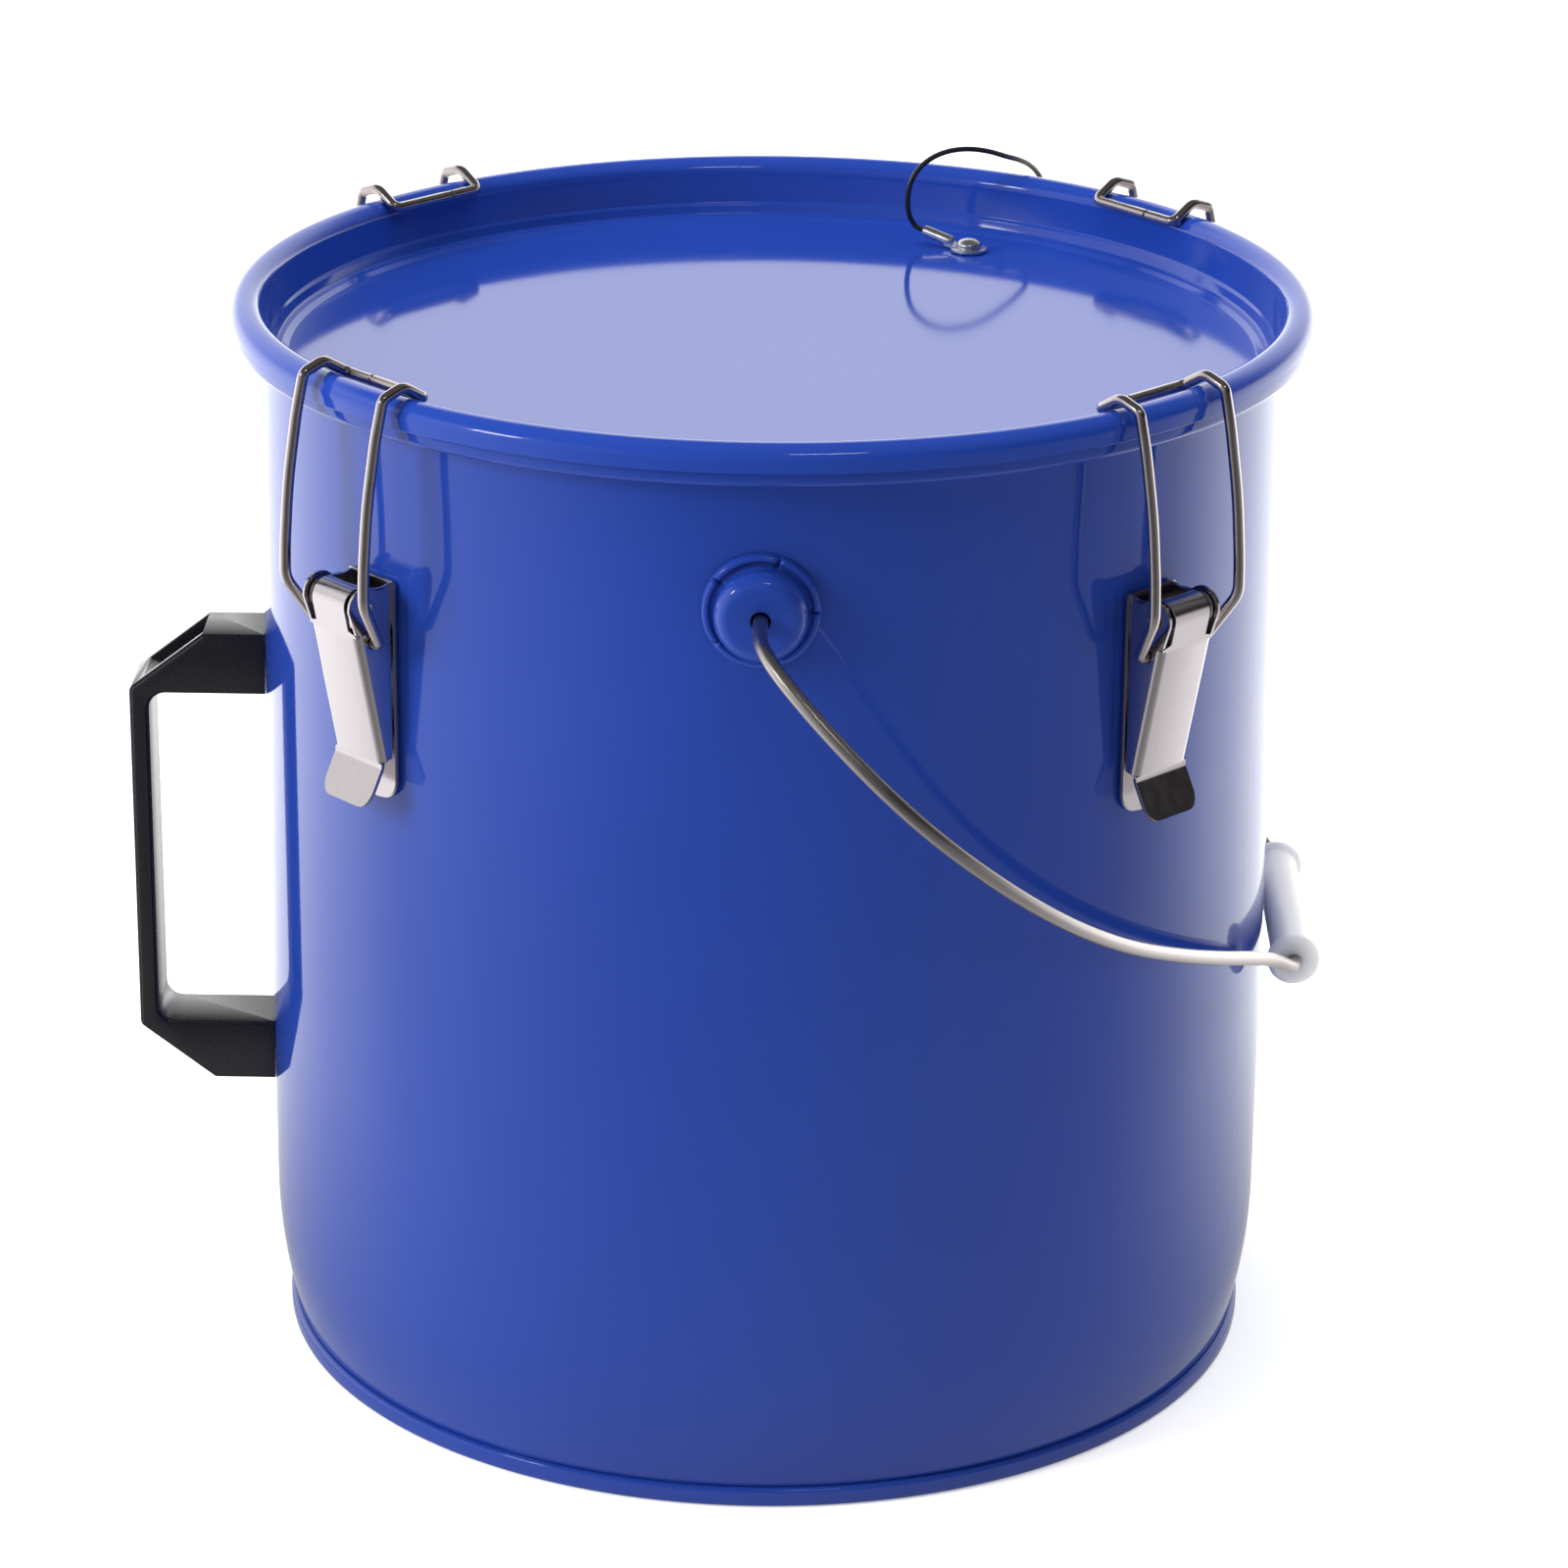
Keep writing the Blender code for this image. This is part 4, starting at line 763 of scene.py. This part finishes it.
def lever_mesh():
    """The lever's sheet as one loft from the tab's end, up the face and round the pin."""
    tab_end = (LEVER_LENGTH + LEVER_TAB[0], BARREL + LEVER_TAB[1])
    bend = profile([(tab_end, 0), ((LEVER_LENGTH, BARREL), 2.2 * MM), ((0, BARREL), 0)], 6)
    stations = []
    first = Vector((*bend[0], 0))
    for k in range(10):
        share = 1 - math.cos(math.pi / 2 * k / 10)
        stations.append((first.lerp(Vector((*bend[1], 0)), share).to_2d(), False))
    stations += [(Vector(p), False) for p in bend[1:-1]]
    marks = [42.32, 42.3, 41.2, 36, 30, 24, 18, 12.5, 8.2, 6.9, 6.79, 6.6, 6.3, 6.0, 5.8, 5.6, 5.4, 5.3, 3, 1]
    start = bend[-2][0]
    stations += [(Vector((m * MM, BARREL)), False) for m in marks if m * MM < start]
    stations += [(Vector(p), True) for p in arc((0, 0), BARREL, 90, 352, 40)]
    rings = []
    count = len(stations)
    for i, (point, on_roll) in enumerate(stations):
        ahead = stations[min(i + 1, count - 1)][0] - stations[max(i - 1, 0)][0]
        along_way = ahead.normalized()
        if on_roll:
            outwards = point.normalized()
        elif i + 1 < count and abs(point.y - BARREL) < 1e-9:
            outwards = Vector((0, 1))
        else:
            outwards = Vector((along_way.y, -along_way.x))
        if not on_roll and outwards.y < 0:
            outwards = -outwards
        rings.append(lever_ring(point, outwards, on_roll))
    mesh = lofted("lever", rings)
    across = 20 * MM
    x, z = LOOP_PIVOT[0] - PIN_REACH, LOOP_PIVOT[1] - PIN_HEIGHT
    hole = rod("hole", (x, -across, z), (x, across, z), LOOP_WIRE + 0.35 * MM)
    face = combined("lever", mesh, [(hole, "DIFFERENCE")])
    bore = rod("bore", (0, -across, 0), (0, across, 0), PIN_RADIUS + 0.2 * MM)
    tops = [combined("flange_top", flange_top_mesh(side), [(bore, "DIFFERENCE")]) for side in (1, -1)]
    return merged("lever", [face, *tops])


def lever_ring(point, outwards, on_roll):
    """The sheet's cross-section: outer side, then inner side, with a bent flange on each edge."""
    half = lever_half(point.x, on_roll)
    depth = flange_depth(point.x, on_roll)
    sheet = LEVER_SHEET
    edge = 0.18 * MM
    if depth > 0:
        bend = min(1.9 * MM, max(depth - 0.2 * MM, sheet + 0.1 * MM))
        depth = max(depth, bend + 0.1 * MM)
        outer = [(half - bend + bend * math.sin(a), -bend + bend * math.cos(a))
                 for a in (math.radians(k * 15) for k in range(7))]
        outer += [(half, -depth + edge), (half - edge, -depth)]
        small = bend - sheet
        inner = [(half - bend + small * math.sin(a), -bend + small * math.cos(a))
                 for a in (math.radians(k * 15) for k in range(7))]
        inner += [(half - sheet, -depth + edge), (half - sheet + edge, -depth)]
    else:
        outer = [(half - edge, 0.0)] * 7 + [(half, -edge), (half, -sheet / 2)]
        inner = [(half - edge, -sheet)] * 7 + [(half, -sheet + edge), (half, -sheet / 2)]
    section = [(-t, n) for t, n in reversed(outer)] + [(0, 0)] + outer
    section += [(t, n) for t, n in reversed(inner)] + [(0, -sheet)] + [(-t, n) for t, n in inner]
    ring = []
    for t, n in section:
        along, out = point.x + outwards.x * n, point.y + outwards.y * n
        x, z = lever_place(along, out)
        ring.append(Vector((x, t, z)))
    return ring


def base_mesh():
    low, high, half = 182 * MM, 241.1 * MM, 9.0 * MM
    outline = rounded_ring([((half, high), 1.2 * MM), ((half, low + 1 * MM), 6 * MM),
                            ((0, low - 0.2 * MM), 20 * MM),
                            ((-half, low + 1 * MM), 6 * MM), ((-half, high), 1.2 * MM)], 8)
    plate = slab("base", outline, BASE_BACK, BASE_FRONT, "YZX", 0.3 * MM)
    ear = [(BASE_FRONT - 0.5 * MM, PIN_HEIGHT - 6.5 * MM)]
    ear += arc((PIN_REACH, PIN_HEIGHT), 4.1 * MM, -70, 105, 18)
    ear += [(BASE_BACK + 3.8 * MM, PIN_HEIGHT + 3.6 * MM), (BASE_BACK + 2.4 * MM, PIN_HEIGHT + 3.9 * MM),
            (BASE_FRONT + 0.2 * MM, high - 0.3 * MM), (BASE_FRONT - 0.5 * MM, high - 0.3 * MM)]
    steps = []
    for side in (1, -1):
        near, far = sorted((side * 7.1 * MM, side * 8.1 * MM))
        steps.append((slab("base_ear", ear, near, far, "XZY", 0.15 * MM), "UNION"))
    return combined("base", plate, steps)


def pin_mesh():
    """A pin with a tubular riveted end on each side."""
    seat, head = LEVER_HALF + 0.3 * MM, 2.2 * MM
    end = seat + 0.6 * MM
    half = [((0.9 * MM, seat - 0.4 * MM), 0), ((0.9 * MM, end - 0.2 * MM), 0.2 * MM),
            ((1.3 * MM, end), 0.3 * MM),
            ((head, end - 0.1 * MM), 0.35 * MM), ((head, seat), 0.1 * MM), ((PIN_RADIUS, seat), 0)]
    top = [(ON_AXIS, seat - 0.4 * MM)] + profile(half, 4)
    return turned("pin", top + [(r, -z) for r, z in reversed(top)], 40)


def loop_points():
    side, pivot = 15.5 * MM, LOOP_PIVOT
    out = PIN_REACH
    bar_end = LEVER_HALF + LOOP_WIRE + 1.2 * MM
    hook = (130.8 * MM, 289.0 * MM)
    half = [((0, pivot[0], pivot[1]), 0), ((bar_end, pivot[0], pivot[1]), 1.8 * MM),
            ((side, out + 5.6 * MM, PIN_HEIGHT + 3 * MM), 8 * MM),
            ((side, out + 5.4 * MM, PIN_HEIGHT + 12 * MM), 120 * MM),
            ((side, out + 4.0 * MM, PIN_HEIGHT + 28 * MM), 140 * MM),
            ((side, LID_RADIUS + 4.4 * MM, BEAD_HEIGHT - 4 * MM), 80 * MM),
            ((side, LID_RADIUS + 1.9 * MM, BEAD_HEIGHT + 5.6 * MM), 2.4 * MM),
            ((side, LID_RADIUS - BEAD, BEAD_HEIGHT + BEAD + LOOP_WIRE + 1.7 * MM), 4 * MM),
            ((side, *hook), 2.2 * MM)]
    seam = 5 * MM
    left = [((-t, x, z), r) for (t, x, z), r in half[1:]]
    corners = [((-seam - 0.12 * MM, *hook), 0)] + left[::-1] + half[1:] + [((-seam + 0.12 * MM, *hook), 0)]
    return rounded([((x, t, z), r) for (t, x, z), r in corners], 7)


def make_latches():
    lever = lever_mesh()
    base = base_mesh()
    pin = pin_mesh()
    loop = tube("loop", loop_points(), LOOP_WIRE, 14, 0.2)
    rivet = rivet_mesh("base_rivet", 0.3 * MM, 2.6 * MM, 1.3 * MM, 3.2 * MM)
    for joint in frame["joints"]:
        if not joint["name"].startswith("lever_open_"):
            continue
        name = joint["name"][len("lever_open_"):]
        ax, ay, _ = joint["axis"]
        side = LIFT @ Matrix.Rotation(math.atan2(ax, -ay), 4, "Z")
        at_pin = side @ Matrix.Translation((PIN_REACH, 0, PIN_HEIGHT))
        piece(f"latch_{name}_lever_sheet", lever, STEEL, f"lever_{name}", [f"latch_lever_{name}"],
              at_pin)
        piece(f"latch_{name}_base_plate", base, STEEL, "pail", [f"latch_base_{name}"],
              side)
        piece(f"latch_{name}_pin_tube", pin, STEEL, "pail", [f"latch_pin_{name}"],
              at_pin @ Matrix.Rotation(math.pi / 2, 4, "X"))
        piece(f"latch_{name}_wire_loop", loop, WIRE, f"loop_{name}", [f"latch_loop_{name}"],
              side)
        for spot, (t, height) in {"left": (-3.8, 229.5), "right": (3.8, 229.5), "lower": (0, 189.0)}.items():
            at_rivet = side @ Matrix.Translation((BASE_FRONT, t * MM, height * MM))
            place = at_rivet @ Matrix.Rotation(math.pi / 2, 4, "Y")
            piece(f"latch_{name}_rivet_{spot}_dome", rivet, STEEL, "pail", [f"latch_rivet_{spot}_{name}"],
                  place)


# ---- studio ----
def area_light(name, place, target, size, power, glossy=True):
    data = bpy.data.lights.new(name, "AREA")
    data.shape = "RECTANGLE"
    data.size, data.size_y = size
    data.energy = power
    light = bpy.data.objects.new(name, data)
    bpy.context.scene.collection.objects.link(light)
    light.location = place
    light.rotation_euler = (Vector(target) - Vector(place)).to_track_quat("-Z", "Y").to_euler()
    light.visible_glossy = glossy


def ramp(tree, value, stops):
    """A grey ramp through (position, brightness) stops."""
    node = tree.nodes.new("ShaderNodeValToRGB")
    tree.links.new(value, node.inputs["Fac"])
    elements = node.color_ramp.elements
    for element, (position, grey) in zip(elements, (stops[0], stops[-1])):
        element.position, element.color = position, (grey, grey, grey, 1)
    for position, grey in stops[1:-1]:
        elements.new(position).color = (grey, grey, grey, 1)
    return node.outputs["Color"]


def calc(tree, operation, *values):
    node = tree.nodes.new("ShaderNodeMath")
    node.operation = operation
    for slot, value in zip(node.inputs, values):
        if isinstance(value, (int, float)):
            slot.default_value = value
        else:
            tree.links.new(value, slot)
    return node.outputs["Value"]


def mixed(tree, share, first, second, kind="ShaderNodeMixShader"):
    node = tree.nodes.new(kind)
    tree.links.new(share, node.inputs[0])
    tree.links.new(first, node.inputs[1])
    tree.links.new(second, node.inputs[2])
    return node.outputs[0]


FLOOR_SIZE = 6.0
FLOOR_FADE = [(0.0, 1.0), (0.15, 1.0), (0.30, 0.55), (0.55, 0.2), (1.0, 0.0)]   # metres out, share kept
FLOOR_GLOW = 0.55                            # what a reflection sees of the floor near the pail
FLOOR_LIFT, FLOOR_LIFT_PER_METRE = 0.4, 0.25  # keeps the seen floor white, far out too


def make_floor():
    """A white floor; in reflections only its part near the pail shows, and beyond it the room."""
    build = bmesh.new()
    bmesh.ops.create_grid(build, x_segments=4, y_segments=4, size=FLOOR_SIZE)
    mesh = bpy.data.meshes.new("floor")
    build.to_mesh(mesh)
    build.free()
    floor = bpy.data.objects.new("floor", mesh)
    bpy.context.scene.collection.objects.link(floor)
    floor.location.z = FLOOR - 0.2 * MM
    made, shader = surface("floor_white", (0.88, 0.88, 0.88), 0.9)
    shader.inputs["Specular IOR Level"].default_value = 0.0
    tree = made.node_tree
    where = tree.nodes.new("ShaderNodeTexCoord")
    length = tree.nodes.new("ShaderNodeVectorMath")
    length.operation = "LENGTH"
    tree.links.new(where.outputs["Object"], length.inputs[0])
    near = ramp(tree, length.outputs["Value"], FLOOR_FADE)
    glow = tree.nodes.new("ShaderNodeEmission")
    glow.inputs["Strength"].default_value = FLOOR_GLOW
    clear = tree.nodes.new("ShaderNodeBsdfTransparent")
    seen = mixed(tree, near, clear.outputs[0], glow.outputs[0])
    path = tree.nodes.new("ShaderNodeLightPath")
    lift = tree.nodes.new("ShaderNodeEmission")
    farther = calc(tree, "MULTIPLY", length.outputs["Value"], FLOOR_LIFT_PER_METRE)
    tree.links.new(calc(tree, "ADD", farther, FLOOR_LIFT), lift.inputs["Strength"])
    white = tree.nodes.new("ShaderNodeAddShader")
    tree.links.new(shader.outputs[0], white.inputs[0])
    tree.links.new(lift.outputs[0], white.inputs[1])
    shown = mixed(tree, path.outputs["Is Camera Ray"], shader.outputs[0], white.outputs[0])
    both = mixed(tree, path.outputs["Is Glossy Ray"], shown, seen)
    tree.links.new(both, tree.nodes["Material Output"].inputs["Surface"])
    mesh.materials.append(made)


# grey of the room seen in reflections, by share of a full turn from straight behind the pail
ROOM_LOW = [(0.0, 0.90), (0.147, 0.77), (0.206, 0.66), (0.25, 0.43), (0.289, 0.33), (0.325, 0.25),
            (0.358, 0.19), (0.389, 0.12), (0.42, 0.075), (0.45, 0.045), (0.50, 0.04), (0.569, 0.05),
            (0.63, 0.08), (0.697, 0.11), (0.736, 0.18), (0.778, 0.38), (0.83, 0.74), (0.903, 0.95),
            (1.0, 0.90)]
ROOM_HIGH = [(0.0, 0.52), (0.12, 0.50), (0.25, 0.33), (0.34, 0.22), (0.42, 0.10), (0.50, 0.05),
             (0.58, 0.015), (0.66, 0.006), (0.76, 0.008), (0.84, 0.10), (0.92, 0.48), (1.0, 0.52)]
ROOM_STRENGTH = 3.0
ROOM_RISE = 5.0                              # how fast low changes to high above the horizon
OVERHEAD, OVERHEAD_FROM, OVERHEAD_RISE = 0.12, 0.52, 6.0
AMBIENT, BACKDROP = 0.12, 1.0                # strength for diffuse light and for the camera


def make_world():
    """A room bright behind, dark in front and soft at both sides; it brightens by where it faces."""
    world = bpy.data.worlds.new("studio")
    bpy.context.scene.world = world
    world.use_nodes = True
    tree = world.node_tree
    tree.nodes.clear()
    where = tree.nodes.new("ShaderNodeTexCoord")
    split = tree.nodes.new("ShaderNodeSeparateXYZ")
    tree.links.new(where.outputs["Generated"], split.inputs["Vector"])
    x, y, z = split.outputs
    turn = calc(tree, "ARCTAN2", x, calc(tree, "MULTIPLY", y, -1.0))
    share = calc(tree, "ADD", calc(tree, "DIVIDE", turn, 2 * math.pi), 0.5)
    rise = calc(tree, "MINIMUM", calc(tree, "MAXIMUM", calc(tree, "MULTIPLY", z, ROOM_RISE), 0.0), 1.0)
    rooms = []
    for stops in (ROOM_LOW, ROOM_HIGH):
        room = tree.nodes.new("ShaderNodeBackground")
        room.inputs["Strength"].default_value = ROOM_STRENGTH
        tree.links.new(ramp(tree, share, stops), room.inputs["Color"])
        rooms.append(room.outputs[0])
    above = tree.nodes.new("ShaderNodeBackground")
    above.inputs["Color"].default_value = (1, 1, 1, 1)
    above.inputs["Strength"].default_value = OVERHEAD
    steep = calc(tree, "MULTIPLY", calc(tree, "SUBTRACT", z, OVERHEAD_FROM), OVERHEAD_RISE)
    steep = calc(tree, "MINIMUM", calc(tree, "MAXIMUM", steep, 0.0), 1.0)
    studio = mixed(tree, steep, mixed(tree, rise, *rooms), above.outputs[0])
    plains = []
    for strength in (AMBIENT, BACKDROP):
        plain = tree.nodes.new("ShaderNodeBackground")
        plain.inputs["Color"].default_value = (1, 1, 1, 1)
        plain.inputs["Strength"].default_value = strength
        plains.append(plain.outputs[0])
    path = tree.nodes.new("ShaderNodeLightPath")
    ambient = mixed(tree, path.outputs["Is Glossy Ray"], plains[0], studio)
    out = tree.nodes.new("ShaderNodeOutputWorld")
    tree.links.new(mixed(tree, path.outputs["Is Camera Ray"], ambient, plains[1]), out.inputs["Surface"])


def make_lights():
    area_light("top", (0, 0.2, 2.6), (0, 0, 0), (3.0, 3.0), 76, glossy=False)
    area_light("key", (-1.81, -0.85, 1.0), (0, 0, 0.15), (0.9, 1.3), 42, glossy=False)
    area_light("sparkle", (-1.5, -0.9, 1.2), (0, 0, 0.15), (0.35, 0.25), 3.5)
    area_light("rim_right", (1.5, 1.0, 0.9), (0, 0, 0.15), (0.5, 1.0), 8, glossy=False)
    area_light("fill_right", (2.0, -0.7, 0.4), (0.15, 0, 0.12), (0.6, 0.6), 5, glossy=False)
    area_light("streak", (0.35, -1.3, 1.9), (0, 0, 0.25), (0.45, 0.06), 1.6)


make_camera()
make_tether()
make_pail()
make_lid()
make_ears()
make_bail()
make_handle()
make_latches()
make_floor()
make_world()
make_lights()
bpy.context.scene.view_settings.view_transform = "Standard"
